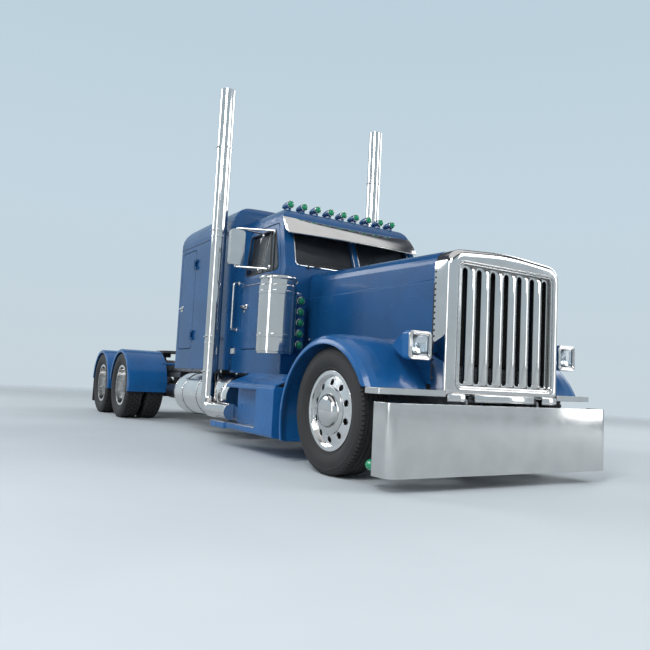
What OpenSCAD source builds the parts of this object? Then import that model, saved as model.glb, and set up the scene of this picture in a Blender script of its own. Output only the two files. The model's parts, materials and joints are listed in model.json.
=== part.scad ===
// Long-nose semi truck tractor unit with a sleeper, twin stacks and a tandem drive.
// Lengths are millimetres. X points forward, Y to the driver's left, Z up from the ground.
// Pieces are drawn with X = 0 at the front axle, then place() centres the whole vehicle.

/* [Layout] */
// Front axle to the middle of the two drive axles
wheelbase = 7180; // [6600:10:7600]
// Distance between the two drive axles
tandem_spread = 1320; // [1300:10:1400]
// Front axle to the front face of the bumper
nose_reach = 960; // [940:5:1000]
// Rear drive axle to the back of the rear bar
tail_reach = 760; // [720:5:900]
// Front wheels, centre plane to centre plane
front_track = 2060; // [2020:5:2100]
// Drive wheels, middle of one twin pair to the other
rear_track = 1830; // [1820:5:1860]
// Spacing of the two tyres in a twin pair
twin_spacing = 340; // [330:1:360]

/* [Wheels] */
// Outer radius of every tyre
tyre_r = 535; // [525:1:540]
// Width of every tyre at its widest
tyre_w = 280; // [260:1:290]
// Radius of the rim where the bead sits
bead_r = 316; // [312:1:320]
// Radius of the rim flange
flange_r = 337; // [330:1:345]
// Half width of a rim
rim_half = 105; // [100:1:110]
// Hand holes in a front wheel
hand_holes = 10; // [8:1:12]
// Radius of a hand hole
hand_hole_r = 28; // [20:1:32]

/* [Steering] */
// Kingpin to the wheel's centre plane
king_offset = 130; // [120:1:140]
// Radius of the kingpin
king_r = 22; // [18:1:26]
// Radius of the front spindle
front_spindle_r = 40; // [34:1:44]
// Radius of the rear spindle
rear_spindle_r = 50; // [44:1:56]
// Length of a steering arm behind the kingpin
arm_len = 190; // [170:5:210]

/* [Frame] */
// Outer face of a frame rail from the middle
rail_y = 432; // [420:1:440]
// Bottom of the frame rails
rail_z = 710; // [700:5:740]
// Height of a frame rail
rail_h = 270; // [240:5:290]
// Flange width of a frame rail
rail_w = 90; // [80:1:100]
// Thickness of the rail's web and flanges
rail_t = 12; // [8:1:16]

/* [Hood] */
// Half width of the hood below its crease
hood_hw = 640; // [620:5:650]
// Rear edge of the hood behind the front axle
hood_back = 1310; // [1290:5:1315]
// Height of the hood's shoulder at the grille
hood_front_z = 1870; // [1850:5:1890]
// Height of the hood's shoulder at the cab
hood_rear_z = 1910; // [1890:5:1930]
// Height of the crease along the hood's side
crease_z = 1630; // [1600:5:1660]
// Thickness of the hood's panels
hood_t = 30; // [20:1:36]
// Depth of the grille shell
shell_depth = 190; // [170:5:200]
// Front face of the grille shell ahead of the axle
grille_x = 890; // [880:2:900]
// Vertical slots in the grille
grille_slots = 7; // [5:1:9]
// Width of a grille slot
slot_w = 56; // [40:2:70]

/* [Fenders] */
// Outer radius of a front fender's crown
fender_r = 778; // [770:1:790]
// Thickness of a fender's skin
fender_t = 25; // [18:1:28]
// Outer edge of the front fenders from the middle
fender_y = 1220; // [1210:1:1225]
// Inner radius of a rear fender
rear_fender_r = 590; // [580:1:600]

/* [Bumper] */
// Bottom of the bumper above the ground
bumper_z = 110; // [90:5:150]
// Height of the bumper
bumper_h = 540; // [500:5:545]
// Half width of the bumper
bumper_hw = 1220; // [1200:5:1225]
// Length of the bumper's side returns
bumper_return = 210; // [190:5:230]

/* [Cab] */
// Half width of the cab at its belt
cab_hw = 930; // [920:5:940]
// Firewall behind the front axle
cab_front = 1330; // [1325:5:1340]
// Back wall of the cab behind the front axle
cab_back = 2600; // [2560:5:2640]
// Underside of the cab's floor
floor_z = 1000; // [995:1:1010]
// Thickness of walls, doors and roof
wall_t = 60; // [50:1:64]
// Height of the cab's belt line
belt_z = 1900; // [1880:5:1920]
// Height of the roof at its front edge
roof_z = 2655; // [2640:5:2680]
// Bottom edge of the cab's skirts
skirt_z = 820; // [800:5:840]
// Gap round a closed door
door_gap = 9; // [8:0.5:12]

/* [Sleeper] */
// Half width of the sleeper
sleeper_hw = 1000; // [990:5:1010]
// Length of the sleeper
sleeper_len = 1800; // [1700:10:1900]
// Height of the sleeper's roof at its front
sleeper_top = 2900; // [2850:5:2950]

/* [Exhaust] */
// Radius of a stack
stack_r = 90; // [76:1:96]
// Top of the stacks above the ground
stack_top = 4290; // [3900:10:4300]
// Stack behind the front axle
stack_back = 2730; // [2720:5:2760]
// Gap between a stack and the sleeper's side
stack_gap = 35; // [30:1:45]

/* [Tanks] */
// Radius of a fuel tank
tank_r = 270; // [250:1:275]
// Length of a fuel tank
tank_len = 1720; // [1500:10:1760]

/* [Air cleaners] */
// Radius of an air cleaner canister
canister_r = 190; // [170:1:200]
// Height of the canister's body
canister_h = 790; // [700:5:820]

/* [Hidden] */
$fn = 64;
run = 0.1;           // radial clearance of pins and spindles that turn
seat = 0.3;          // clearance where a piece is pressed or bonded to its seat
left = 1;
right = -1;

drive_x = [-(wheelbase - tandem_spread / 2), -(wheelbase + tandem_spread / 2)];
tail_x = drive_x[1] - tail_reach;
mid_x = (nose_reach + tail_x) / 2;
axle_z = tyre_r;
front_y = front_track / 2;
twin_y = rear_track / 2;
king_y = front_y - king_offset;
rail_top = rail_z + rail_h;
rail_front = 660;
rail_back = tail_x + 60;
bumper_top = bumper_z + bumper_h;

// Hood hinge, under the lower edge of the grille
hinge_x = grille_x - 45;
hinge_z = bumper_top + 28;
hinge_pin_r = 12;
hinge_eye_r = 22;
grille_bottom = hinge_z + 30;
shell_back = grille_x - shell_depth;
arch_x = -20;        // centre of the front fender's arc
arch_z = 410;
trim_top = grille_bottom + 47;

// Cab section: the windshield leans back from the cowl
cowl_z = 1960;
rake = 0.40;
ws_bottom = 1985;
ws_top = 2440;
door_front = 1430;
door_back = 2380;
door_z = 1090;
door_top = 2480;
door_hinge_x = -(door_front - 8);
door_hinge_y = cab_hw + 20;
door_pin_r = 9;

sleeper_back = cab_back + sleeper_len;
stack_y = sleeper_hw + stack_gap + stack_r;
bay_front = 3800;    // sleeper's access door
bay_back = 4330;
bay_z = 1115;
bay_top = 2470;
bay_hinge_x = -(bay_front - 8);
bay_hinge_y = sleeper_hw + 20;

tank_y = stack_y - stack_r - tank_r - 12;
tank_z = 525;
tank_front = 2590;
box_front = 905;     // step box
box_back = 2050;
box_z = 210;
box_top = 700;
box_y = 1200;
canister_x = -1170;
canister_y = 1080;
canister_z = 1020;
fifth_x = -(wheelbase - 250);
fifth_r = 470;
fifth_top = 1165;
fifth_t = 42;
pivot_ear_r = 46;
pivot_z = fifth_top - fifth_t - pivot_ear_r - 6;   // rocking pin, with room for the plate to turn
jaw_r = 25.6;        // fits a 50.8 mm trailer kingpin
pivot_r = 25;

// Outlines

// Points along an arc from angle a0 to a1
function arc(c, r, a0, a1, n = 8) =
  [for (i = [0 : n]) let (a = a0 + (a1 - a0) * i / n) [c[0] + r * cos(a), c[1] + r * sin(a)]];

function unit(v) = v / norm(v);

// One corner of an outline: [x, y, radius] between its neighbours, rounded where it has a radius
function corner(p, q, s, n) =
  let (r = len(q) > 2 ? q[2] : 0, b = [q[0], q[1]])
  r == 0 ? [b] :
  let (u = unit([p[0], p[1]] - b), v = unit([s[0], s[1]] - b),
       half = acos(u * v) / 2, reach = r / tan(half),
       c = b + unit(u + v) * (r / sin(half)),
       a = b + u * reach, e = b + v * reach,
       a0 = atan2(a[1] - c[1], a[0] - c[0]), a1 = atan2(e[1] - c[1], e[0] - c[0]),
       turn = a1 - a0, sweep = turn > 180 ? turn - 360 : turn < -180 ? turn + 360 : turn)
  arc(c, r, a0, a0 + sweep, n);

// An outline from [x, y, radius] rows
function rounded(rows, n = 6) = let (m = len(rows))
  [for (i = [0 : m - 1]) each corner(rows[(i + m - 1) % m], rows[i], rows[(i + 1) % m], n)];

// A rectangle with one corner radius
function slot_outline(x0, y0, x1, y1, r) = rounded([[x0, y0, r], [x1, y0, r], [x1, y1, r], [x0, y1, r]]);

// Building blocks

module place() { translate([-mid_x, 0, 0]) children(); }

module on_side(side) { mirror([0, side < 0 ? 1 : 0, 0]) children(); }

module both_sides() {
  for (side = [left, right]) on_side(side) children();
}

// An XZ outline drawn from y0 to y1
module slab_y(outline, y0, y1) {
  translate([0, y1, 0]) rotate([90, 0, 0]) linear_extrude(y1 - y0) polygon(outline);
}

// A YZ outline drawn from x0 to x1
module slab_x(outline, x0, x1) {
  translate([x0, 0, 0]) rotate([90, 0, 90]) linear_extrude(x1 - x0) polygon(outline);
}

// An XY outline drawn from z0 to z1
module slab_z(outline, z0, z1) { translate([0, 0, z0]) linear_extrude(z1 - z0) polygon(outline); }

module box(x0, x1, y0, y1, z0, z1) { translate([x0, y0, z0]) cube([x1 - x0, y1 - y0, z1 - z0]); }

// A round bar between two points
module rod(p, q, r) {
  d = q - p;
  translate(p) rotate([0, acos(d[2] / norm(d)), atan2(d[1], d[0])]) cylinder(r = r, h = norm(d));
}

// A [radius, offset] outline turned about a line along +Y
module turned_y(outline) { rotate([-90, 0, 0]) rotate_extrude() polygon(outline); }

// Wheels

// Tyre section: [radius, offset from the centre plane, corner radius]
function tyre_section(gap) = let (w = tyre_w / 2) rounded([
  [bead_r + gap, -rim_half + 15], [flange_r + 3, -rim_half + 9], [tyre_r - 110, -w, 60],
  [tyre_r, -w + 26, 24], [tyre_r, w - 26, 24], [tyre_r - 110, w, 60],
  [flange_r + 3, rim_half - 9], [bead_r + gap, rim_half - 15]]);

module tyre(offset) { translate([0, offset, 0]) turned_y(tyre_section(seat)); }

// Steer wheel with its hub, drum and cap: [radius, offset outward]
module steer_wheel() {
  bore = front_spindle_r + run;
  f = flange_r;
  b = bead_r;
  h = rim_half;
  difference() {
    turned_y([[bore, -54], [105, -54], [105, 40], [195, 40], [195, -70], [215, -70], [215, 54],
      [105, 54], [105, 84], [180, 84], [b - 16, 58], [b - 16, -h], [f, -h], [f, -h + 8], [b, -h + 14],
      [b, h - 14], [f, h - 8], [f, h], [b - 12, h], [b - 16, 76], [180, 102], [125, 102], [125, 112],
      [95, 118], [95, 140], [60, 158], [0, 162], [0, 60], [bore, 60]]);
    for (i = [0 : hand_holes - 1])
      rotate([0, 360 * (i + 0.5) / hand_holes, 0])
        translate([(180 + b - 16) / 2, 40, 0]) rotate([-90, 0, 0]) cylinder(r = hand_hole_r, h = 80);
  }
}

// Twin drive wheels back to back with hub and drum: [radius, offset from the middle of the pair]
module twin_wheel() {
  bore = rear_spindle_r + run;
  f = flange_r;
  b = bead_r;
  near = twin_spacing / 2 - rim_half;
  far = twin_spacing / 2 + rim_half;
  turned_y([[bore, -150], [125, -150], [125, -14], [195, -14], [195, -230], [215, -230], [215, -20],
    [b - 16, -near - 15], [b - 16, -far], [f, -far], [f, -far + 8], [b, -far + 14], [b, -near - 14],
    [f, -near - 8], [f, -near], [b - 12, -near], [225, 0], [b - 12, near], [f, near], [f, near + 8],
    [b, near + 14], [b, far - 14], [f, far - 8], [f, far], [b - 16, far], [b - 16, near + 15],
    [200, 14], [150, 14], [150, 40], [110, 46], [110, 120], [80, 140], [0, 144], [0, 60], [bore, 60]]);
}

module front_tyre(side) {
  color("#1c1c1e") on_side(side) translate([0, front_y, axle_z]) tyre(0);
}

module front_wheel(side) {
  color("#d9dbde") on_side(side) translate([0, front_y, axle_z]) steer_wheel();
}

module twin_tyres(axle, side) {
  color("#1c1c1e") on_side(side) translate([drive_x[axle], twin_y, axle_z])
    for (offset = [-twin_spacing / 2, twin_spacing / 2]) tyre(offset);
}

module twin_wheels(axle, side) {
  color("#d9dbde") on_side(side) translate([drive_x[axle], twin_y, axle_z]) twin_wheel();
}

// Front axle and steering

beam_h = 100;
beam_w = 90;
king_half = 60;      // half height of the axle's kingpin boss
ear_t = 45;          // thickness of a knuckle's ears
ear_gap = 2;
spring_y = 345;
spring_seat_z = axle_z - 45;
arm_z = axle_z - king_half - ear_gap - ear_t / 2;
ball_r = 12;

module front_axle() {
  drop = 90;
  color("#4a4c50") {
    slab_x(rounded([[-king_y, axle_z - 50], [-king_y + 90, axle_z - 50, 40], [-king_y + 220, axle_z - 50 - drop, 60],
      [king_y - 220, axle_z - 50 - drop, 60], [king_y - 90, axle_z - 50, 40], [king_y, axle_z - 50],
      [king_y, axle_z + 50], [king_y - 90, axle_z + 50, 40], [king_y - 220, axle_z - drop + 50, 60],
      [-king_y + 220, axle_z - drop + 50, 60], [-king_y + 90, axle_z + 50, 40], [-king_y, axle_z + 50]]),
      -beam_w / 2, beam_w / 2);
    for (side = [left, right]) {
      translate([0, side * king_y, axle_z - king_half]) cylinder(r = 48, h = 2 * king_half);
      translate([0, side * king_y, axle_z - king_half - ear_gap - ear_t - 6])
        cylinder(r = king_r, h = 2 * (king_half + ear_gap + ear_t + 6));
      box(-70, 70, side * spring_y - 45, side * spring_y + 45, axle_z - drop, spring_seat_z + 40);
    }
  }
}

// Leaf packs that carry the axle, with their hangers under the rails
module front_springs() {
  pack_t = 48;
  reach = 600;
  rise = 70;
  seat_z = spring_seat_z + 40;
  r_arc = (reach * reach + rise * rise) / (2 * rise);
  sweep = asin(reach / r_arc);
  color("#35373b") for (side = [left, right]) {
    y0 = side * spring_y - 38;
    slab_y(concat([[-70, seat_z], [70, seat_z]],
      arc([0, seat_z + r_arc], r_arc, -90 + 7, -90 + sweep, 6),
      arc([0, seat_z + r_arc], r_arc - pack_t, -90 + sweep, -90 - sweep, 12),
      arc([0, seat_z + r_arc], r_arc, -90 - sweep, -90 - 7, 6)), y0, y0 + 76);
    for (x = [-reach, reach])
      box(x - 40, x + 40, y0 + 4, y0 + 72, seat_z + rise, rail_z);
  }
}

// Knuckle: two ears on the kingpin, a web, the spindle and the steering arm
module knuckle(side) {
  low = axle_z - king_half - ear_gap - ear_t;
  high = axle_z + king_half + ear_gap;
  web_y = king_y + 50;
  color("#5a5c60") on_side(side) difference() {
    union() {
      for (z = [low, high]) {
        translate([0, king_y, z]) cylinder(r = 46, h = ear_t);
        box(-46, 46, king_y, web_y + 8, z, z + ear_t);
      }
      box(-46, 46, web_y, web_y + 16, low, high + ear_t);
      translate([0, web_y + 10, axle_z]) rotate([-90, 0, 0])
        cylinder(r = front_spindle_r, h = front_y + 55 - web_y - 10);
      box(-arm_len - 30, -30, king_y - 25, king_y + 25, low, low + ear_t);
    }
    translate([0, king_y, low - 10]) cylinder(r = king_r + run, h = high - low + ear_t + 20);
    translate([-arm_len, king_y, low - 10]) cylinder(r = ball_r + run, h = ear_t + 20);
  }
}

// Tie rod between the two steering arms, under them
module tie_rod() {
  low = axle_z - king_half - ear_gap - ear_t;
  color("#5a5c60") {
    rod([-arm_len, -king_y, low - 24], [-arm_len, king_y, low - 24], 18);
    for (side = [left, right]) {
      translate([-arm_len, side * king_y, low - 46]) cylinder(r = 27, h = 44);
      translate([-arm_len, side * king_y, low - 20]) cylinder(r = ball_r, h = ear_t + 16);
    }
  }
}

// Frame

cross_x = [560, -2300, -3300, -4300, -5200, -6000, -7180, -8300];

module rail() {
  t = rail_t;
  slab_x([[rail_y, rail_z], [rail_y, rail_top], [rail_y - rail_w, rail_top],
    [rail_y - rail_w, rail_top - t], [rail_y - t, rail_top - t], [rail_y - t, rail_z + t],
    [rail_y - rail_w, rail_z + t], [rail_y - rail_w, rail_z]], rail_back, rail_front);
}

mount_x = [-1450, -2480, -2800, -4250];   // pads under the cab and the sleeper

module frame_rails() {
  plate_t = 24;
  color("#8d9095") {
    both_sides() {
      rail();
      for (x = mount_x) box(x - 60, x + 60, rail_y - 80, rail_y - 10, rail_top - 2, floor_z);
      // Bracket that carries the bumper and the hood's hinge pin
      slab_y([[300, rail_z + 20], [rail_front, rail_z + 20], [rail_front, grille_bottom - 25],
        [hinge_x, grille_bottom - 45], [nose_reach - 20, bumper_top - 60], [nose_reach - 20, bumper_z + 150],
        [640, bumper_z + 150], [300, rail_z - 60]], rail_y - rail_t - plate_t, rail_y - rail_t);
      translate([hinge_x, rail_y - rail_t - plate_t - 70, hinge_z]) rotate([-90, 0, 0])
        cylinder(r = hinge_pin_r, h = plate_t + 80);
      slab_y(concat(arc([hinge_x, hinge_z], hinge_eye_r - 4, 0, 180, 10),
        [[hinge_x - 40, grille_bottom - 60], [hinge_x + 30, bumper_top - 60]]),
        rail_y - rail_t - plate_t, rail_y - rail_t);
    }
    for (x = cross_x)
      box(x - 40, x + 40, -(rail_y - rail_t / 2), rail_y - rail_t / 2, rail_z + 120, rail_z + 250);
  }
}

// Bumper: one plate bent back at both ends

module front_bumper() {
  t = 16;
  bend = 70;
  x0 = nose_reach - bumper_return;
  w = bumper_hw;
  color("#c8cacd") slab_z(concat(
    [[x0, -w]], arc([nose_reach - bend, -w + bend], bend, -90, 0), arc([nose_reach - bend, w - bend], bend, 0, 90),
    [[x0, w], [x0, w - t]], arc([nose_reach - bend, w - bend], bend - t, 90, 0),
    arc([nose_reach - bend, -w + bend], bend - t, 0, -90), [[x0, -w + t]]), bumper_z, bumper_top);
  color("#8d9095") both_sides() box(nose_reach - 20 + 0, nose_reach - t, rail_y - 120, rail_y - rail_t + 60,
    bumper_z + 150, bumper_top - 60);
}

// Engine and radiator

engine_hw = 320;

module engine() {
  color("#6b6e72") {
    slab_x(rounded([[-engine_hw, 760], [-180, 620, 40], [180, 620, 40], [engine_hw, 760], [engine_hw, 1400, 60],
      [200, 1560, 60], [-200, 1560, 60], [-engine_hw, 1400, 60]]), -cab_front + 90, 380);
    rotate([0, -90, 0]) translate([790, 0, 1200]) cylinder(r1 = 170, r2 = 130, h = 900);
    both_sides() box(-700, -500, 250, rail_y - rail_t, rail_z + 60, rail_z + 130);
  }
}

module radiator() {
  color("#2a2c2f") {
    box(560, 640, -520, 520, rail_top + 2, 1740);
    both_sides() box(570, 630, rail_y - 80, rail_y - 20, rail_top, rail_top + 10);
  }
}

// Hood, grille and fenders, which tilt forward together

hood_crown = 45;
shoulder_r = 110;
crease_in = 12;

// Hood section at a shoulder height, drawn smaller by a wall: [y, z, corner radius]
function hood_section(z, wall, base) = let (w = hood_hw - wall, u = hood_hw - crease_in - wall) rounded([
  [-w, base], [-w, crease_z], [-u, crease_z + crease_in], [-u, z - wall, shoulder_r - wall],
  [0, z + hood_crown - wall, 3000], [u, z - wall, shoulder_r - wall], [u, crease_z + crease_in],
  [w, crease_z], [w, base]], 7);

// A skin through two sections of equal length, each [x, outline]
module loft_x(a, b) {
  n = len(a[1]);
  points = concat([for (p = a[1]) [a[0], p[0], p[1]]], [for (p = b[1]) [b[0], p[0], p[1]]]);
  faces = concat([[for (i = [n - 1 : -1 : 0]) i]], [[for (i = [0 : n - 1]) n + i]],
    [for (i = [0 : n - 1]) let (j = (i + 1) % n) each [[i, j, n + i], [j, n + j, n + i]]]);
  polyhedron(points, faces);
}

function hood_z_at(x) = hood_rear_z + (hood_front_z - hood_rear_z) * (x + hood_back) / (shell_back + hood_back);

module hood_panel() {
  low = 800;
  color("#1d5fae") difference() {
    loft_x([-hood_back, hood_section(hood_rear_z, 0, low)], [shell_back, hood_section(hood_front_z, 0, low)]);
    loft_x([-hood_back - 50, hood_section(hood_z_at(-hood_back - 50), hood_t, low - 50)],
      [shell_back + 50, hood_section(hood_z_at(shell_back + 50), hood_t, low - 50)]);
    translate([arch_x, -hood_hw - 20, arch_z]) rotate([-90, 0, 0])
      cylinder(r = fender_r - fender_t - 18, h = 2 * hood_hw + 40, $fn = 96);
  }
}

border = 100;        // face of the grille shell round the opening
border_t = 30;
function shell_outline(wall) = rounded([[-hood_hw + wall, grille_bottom + wall],
  [-hood_hw + wall, hood_front_z - wall, shoulder_r + 30 - wall], [0, hood_front_z + hood_crown - wall, 3000],
  [hood_hw - wall, hood_front_z - wall, shoulder_r + 30 - wall], [hood_hw - wall, grille_bottom + wall]], 7);

function grille_outline(grow) = slot_outline(-hood_hw + border - grow, grille_bottom + 70 - grow,
  hood_hw - border + grow, hood_front_z - border + grow, 50 + grow);

module grille_shell() {
  eye_y = rail_y - rail_t - 24 - 8;
  color("#d4d6d9") difference() {
    union() {
      difference() {
        slab_x(shell_outline(0), shell_back, grille_x);
        slab_x(shell_outline(36), shell_back - 1, grille_x - border_t);
        slab_x(grille_outline(0), grille_x - border_t - 10, grille_x + 1);
      }
      // Eyes that turn on the frame's hinge pins
      both_sides() slab_y(concat(arc([hinge_x, hinge_z], hinge_eye_r, 180, 360, 16),
        [[hinge_x + hinge_eye_r, grille_bottom + 5], [hinge_x - hinge_eye_r, grille_bottom + 5]]), eye_y - 40, eye_y);
    }
    both_sides() translate([hinge_x, eye_y - 50, hinge_z]) rotate([-90, 0, 0])
      cylinder(r = hinge_pin_r + run, h = 60);
  }
}

// Grille: one plate with round-ended vertical slots, behind the shell's border
module grille_bars() {
  grow = 22;
  low = grille_bottom + 70;
  high = hood_front_z - border;
  pitch = (2 * hood_hw - 2 * border) / grille_slots;
  x0 = grille_x - border_t - 22;
  color("#b9bcc0") difference() {
    slab_x(grille_outline(grow), x0, grille_x - border_t);
    for (i = [0 : grille_slots - 1])
      slab_x([for (p = slot_outline(-slot_w / 2, low + 35, slot_w / 2, high - 35, slot_w / 2 - 1))
        [p[0] + (i - (grille_slots - 1) / 2) * pitch, p[1]]], x0 - 1, grille_x);
  }
}

// Fender skin across the vehicle: [distance from the middle, share of the crown's radius lost]
crown_table = [[hood_hw, 18], [740, 6], [880, 0], [1020, 0], [1120, 8], [1180, 26], [fender_y - 8, 56], [fender_y, 88]];

module front_fenders() {
  n = len(crown_table) - 1;
  outer = [for (row = crown_table) [fender_r - row[1], row[0]]];
  inner = [for (i = [n : -1 : 0]) let (row = crown_table[i])
    [fender_r - min(row[1] + fender_t, crown_table[n][1]), min(row[0], fender_y - fender_t + (i == n ? 0 : -6 * (n - i)))]];
  color("#2f7fd0") both_sides() difference() {
    translate([arch_x, 0, arch_z]) rotate([-90, 0, 0])
      rotate([0, 0, -196]) rotate_extrude(angle = 182, $fn = 128) polygon(concat(outer, inner));
    box(0, 1200, hood_hw - 50, fender_y + 50, 0, trim_top);
  }
}

// Bright strip along the lower front edge of each fender
module fender_trim() {
  color("#d4d6d9") both_sides()
    slab_z(rounded([[600, hood_hw], [grille_x - 14, hood_hw], [grille_x - 100, fender_y - 20, 40], [600, fender_y - 20]]),
      trim_top - 48, trim_top);
}

// Square headlamps in tapered pods on the grille's sides
lamp_x = 800;
lamp_y = 845;
lamp_z = 1090;
lamp_half = 112;

module headlamp_pods() {
  color("#2f7fd0") both_sides() {
    difference() {
      union() {
        slab_x([for (p = slot_outline(-lamp_half, -lamp_half, lamp_half, lamp_half, 30)) p + [lamp_y, lamp_z]],
          lamp_x - 60, lamp_x);
        hull() {
          slab_x([for (p = slot_outline(-lamp_half + 4, -lamp_half + 4, lamp_half - 4, lamp_half - 4, 28))
            p + [lamp_y, lamp_z]], lamp_x - 80, lamp_x - 60);
          translate([lamp_x - 300, lamp_y - 20, lamp_z]) sphere(r = 45, $fn = 32);
        }
        box(lamp_x - 200, lamp_x - 130, hood_hw, lamp_y, lamp_z - 40, lamp_z + 30);
      }
      slab_x([for (p = slot_outline(-lamp_half + 26, -lamp_half + 26, lamp_half - 26, lamp_half - 26, 20))
        p + [lamp_y, lamp_z]], lamp_x - 40, lamp_x + 1);
    }
  }
}

module headlamp_lenses() {
  color("#e8eef2") both_sides() slab_x([for (p = slot_outline(-lamp_half + 26 + seat, -lamp_half + 26 + seat,
    lamp_half - 26 - seat, lamp_half - 26 - seat, 20)) p + [lamp_y, lamp_z]], lamp_x - 40, lamp_x - 8);
}

// Cab

function ws_x(z) = -cab_front - rake * (z - cowl_z);

// Side outline of the cab, drawn smaller by a wall: [x, z, corner radius]
function cab_side(wall, base) = rounded([[-cab_front - wall, base], [-cab_front - wall, cowl_z + wall * 0.1],
  [ws_x(roof_z) - wall, roof_z - wall, 200 - wall], [-cab_back + wall, roof_z + 45 - wall, 150 - wall],
  [-cab_back + wall, base]]);

// Front outline of the cab: upright to the belt, then leaning in to a crowned roof
function cab_face(wall, base) = rounded([[-cab_hw + wall, base], [-cab_hw + wall, belt_z],
  [-cab_hw + 80 + wall, roof_z + 20 - wall, 190 - wall], [0, roof_z + 75 - wall, 4000],
  [cab_hw - 80 - wall, roof_z + 20 - wall, 190 - wall], [cab_hw - wall, belt_z], [cab_hw - wall, base]]);

module cab_body(wall, base) {
  intersection() {
    slab_y(cab_side(wall, base), -cab_hw - 10, cab_hw + 10);
    slab_x(cab_face(wall, base), -cab_back - 10, -cab_front + 10);
  }
}

// Door and window outlines in side view, grown or shrunk by a gap
function door_outline(grow) = rounded([[-door_front + grow, door_z - grow, 60], [-door_front + grow, cowl_z],
  [-door_front - 200 + grow * 0.5, door_top + grow, 60], [-door_back - grow, door_top + grow, 70],
  [-door_back - grow, door_z - grow, 60]]);

function window_outline(grow) = rounded([[-1490 + grow, 1945 - grow, 30], [-1690 + grow, 2415 + grow, 40],
  [-2310 - grow, 2415 + grow, 50], [-2310 - grow, 1945 - grow, 40]]);

// One windshield pane in front view
function pane_outline(grow) = rounded([[34 - grow, ws_bottom - grow, 40], [800 + grow, ws_bottom - grow, 50],
  [760 + grow, ws_top + grow, 50], [34 - grow, ws_top + grow, 40]]);

ear_h = 34;
door_hinges = [1240, 1760];   // heights of the door's hinges
bay_hinges = [1300, 2260];

// Eyes of a hinge on the fixed side, above and below the leaf
module hinge_eyes(x, y, heights, skin) {
  for (z = heights, dz = [-ear_h - 32, 32]) difference() {
    union() {
      translate([x, y, z + dz]) cylinder(r = 17, h = ear_h);
      box(x, x + 55, skin - 4, y + 8, z + dz, z + dz + ear_h);
    }
    translate([x, y, z + dz - 1]) cylinder(r = door_pin_r + run, h = ear_h + 2);
  }
}

// Pin and leaf of a hinge on the door
module hinge_leaf(x, y, heights, skin) {
  for (z = heights) {
    translate([x, y, z - ear_h - 32]) cylinder(r = door_pin_r, h = 2 * (ear_h + 32));
    translate([x, y, z - 30]) cylinder(r = 17, h = 60);
    box(x - 70, x, skin + 6, y + 8, z - 30, z + 30);
    box(x - 70, x - 30, skin - 4, skin + 10, z - 30, z + 30);
  }
}

module cab_shell() {
  color("#1d5fae") difference() {
    union() {
      difference() {
        cab_body(0, floor_z);
        cab_body(wall_t, floor_z + 40);
      }
      both_sides() box(-cab_back, -cab_front, cab_hw - wall_t, cab_hw, skirt_z, floor_z + 10);
      both_sides() hinge_eyes(door_hinge_x, door_hinge_y, door_hinges, cab_hw);
    }
    for (side = [left, right]) {
      slab_y(door_outline(0), side > 0 ? cab_hw - 260 : -cab_hw - 3, side > 0 ? cab_hw + 3 : -cab_hw + 260);
      on_side(side) slab_x(pane_outline(0), -cab_front - 330, -cab_front + 20);
    }
    // Way through to the sleeper
    slab_x(slot_outline(-360, floor_z + 40, 360, 2300, 60), -cab_back - 5, -cab_back + wall_t + 20);
  }
}

// Flat glass set into the middle of the leaning wall
module windshield() {
  back = 34;
  thick = 9;
  color("#2b2f33") both_sides() intersection() {
    slab_x(pane_outline(-seat), -cab_front - 330, -cab_front + 20);
    slab_y([for (p = [[-back, 1900], [-back - thick, 1900], [-back - thick, 2520], [-back, 2520]])
      [ws_x(p[1]) + p[0], p[1]]], 0, cab_hw);
  }
}

visor_t = 12;
visor_hw = 870;
visor_low = 2330;
visor_high = 2540;
visor_out = 190;     // how far the visor's lip stands ahead of the windshield

module sun_visor() {
  lip = [ws_x(visor_low) + visor_out, visor_low];
  root = [ws_x(visor_high), visor_high];
  color("#d4d6d9") {
    slab_y([root, lip, lip + [-visor_t, -visor_t], root + [rake * 30, -30]], -visor_hw, visor_hw);
    both_sides() slab_y([root, lip, lip + [-visor_t, -visor_t], [ws_x(visor_low + 60), visor_low + 60]],
      visor_hw - 10, visor_hw);
  }
}

// Bullet lamps across the roof
lamp_count = 9;
lamp_span = 1420;
roof_lamp_x = -1700;
roof_lamp_z = roof_z + 70;
bullet_r = 40;
bullet_len = 190;

module roof_lamps() {
  color("#1d5fae") difference() {
    for (i = [0 : lamp_count - 1]) translate([roof_lamp_x, (i / (lamp_count - 1) - 0.5) * lamp_span, roof_lamp_z]) {
      box(-90, -20, -16, 16, -120, 0);
      rotate([0, -90, 0]) rotate_extrude() polygon(concat([[0, 0], [bullet_r, 0], [bullet_r, 40]],
        [for (i = [1 : 8]) [bullet_r * cos(i * 11.25), 40 + (bullet_len - 40) * sin(i * 11.25)]]));
    }
    cab_body(0, floor_z);
  }
}

// Green lenses: roof, cowl strips and bumper ends
cowl_lamps = [1250, 1340, 1430, 1520, 1610];   // heights of the lamps beside each air cleaner
lens_r = 30;

module dome(r, depth) {
  rotate_extrude() polygon(concat([[0, 0]], arc([0, 0], 1, 0, 90, 6) * [[r, 0], [0, depth]]));
}

module marker_lenses() {
  color("#12894f") {
    for (i = [0 : lamp_count - 1]) translate([roof_lamp_x, (i / (lamp_count - 1) - 0.5) * lamp_span, roof_lamp_z])
      rotate([0, 90, 0]) dome(bullet_r - 5, 22);
    both_sides() for (z = cowl_lamps) translate([canister_x + 4, 850, z]) rotate([0, 90, 0]) dome(lens_r, 20);
    both_sides() translate([nose_reach - bumper_return, bumper_hw - 26, bumper_z + 75]) rotate([0, -90, 0])
      union() { cylinder(r = 24, h = 12); translate([0, 0, 12]) dome(22, 22); }
  }
}

// Inside the cab

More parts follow.
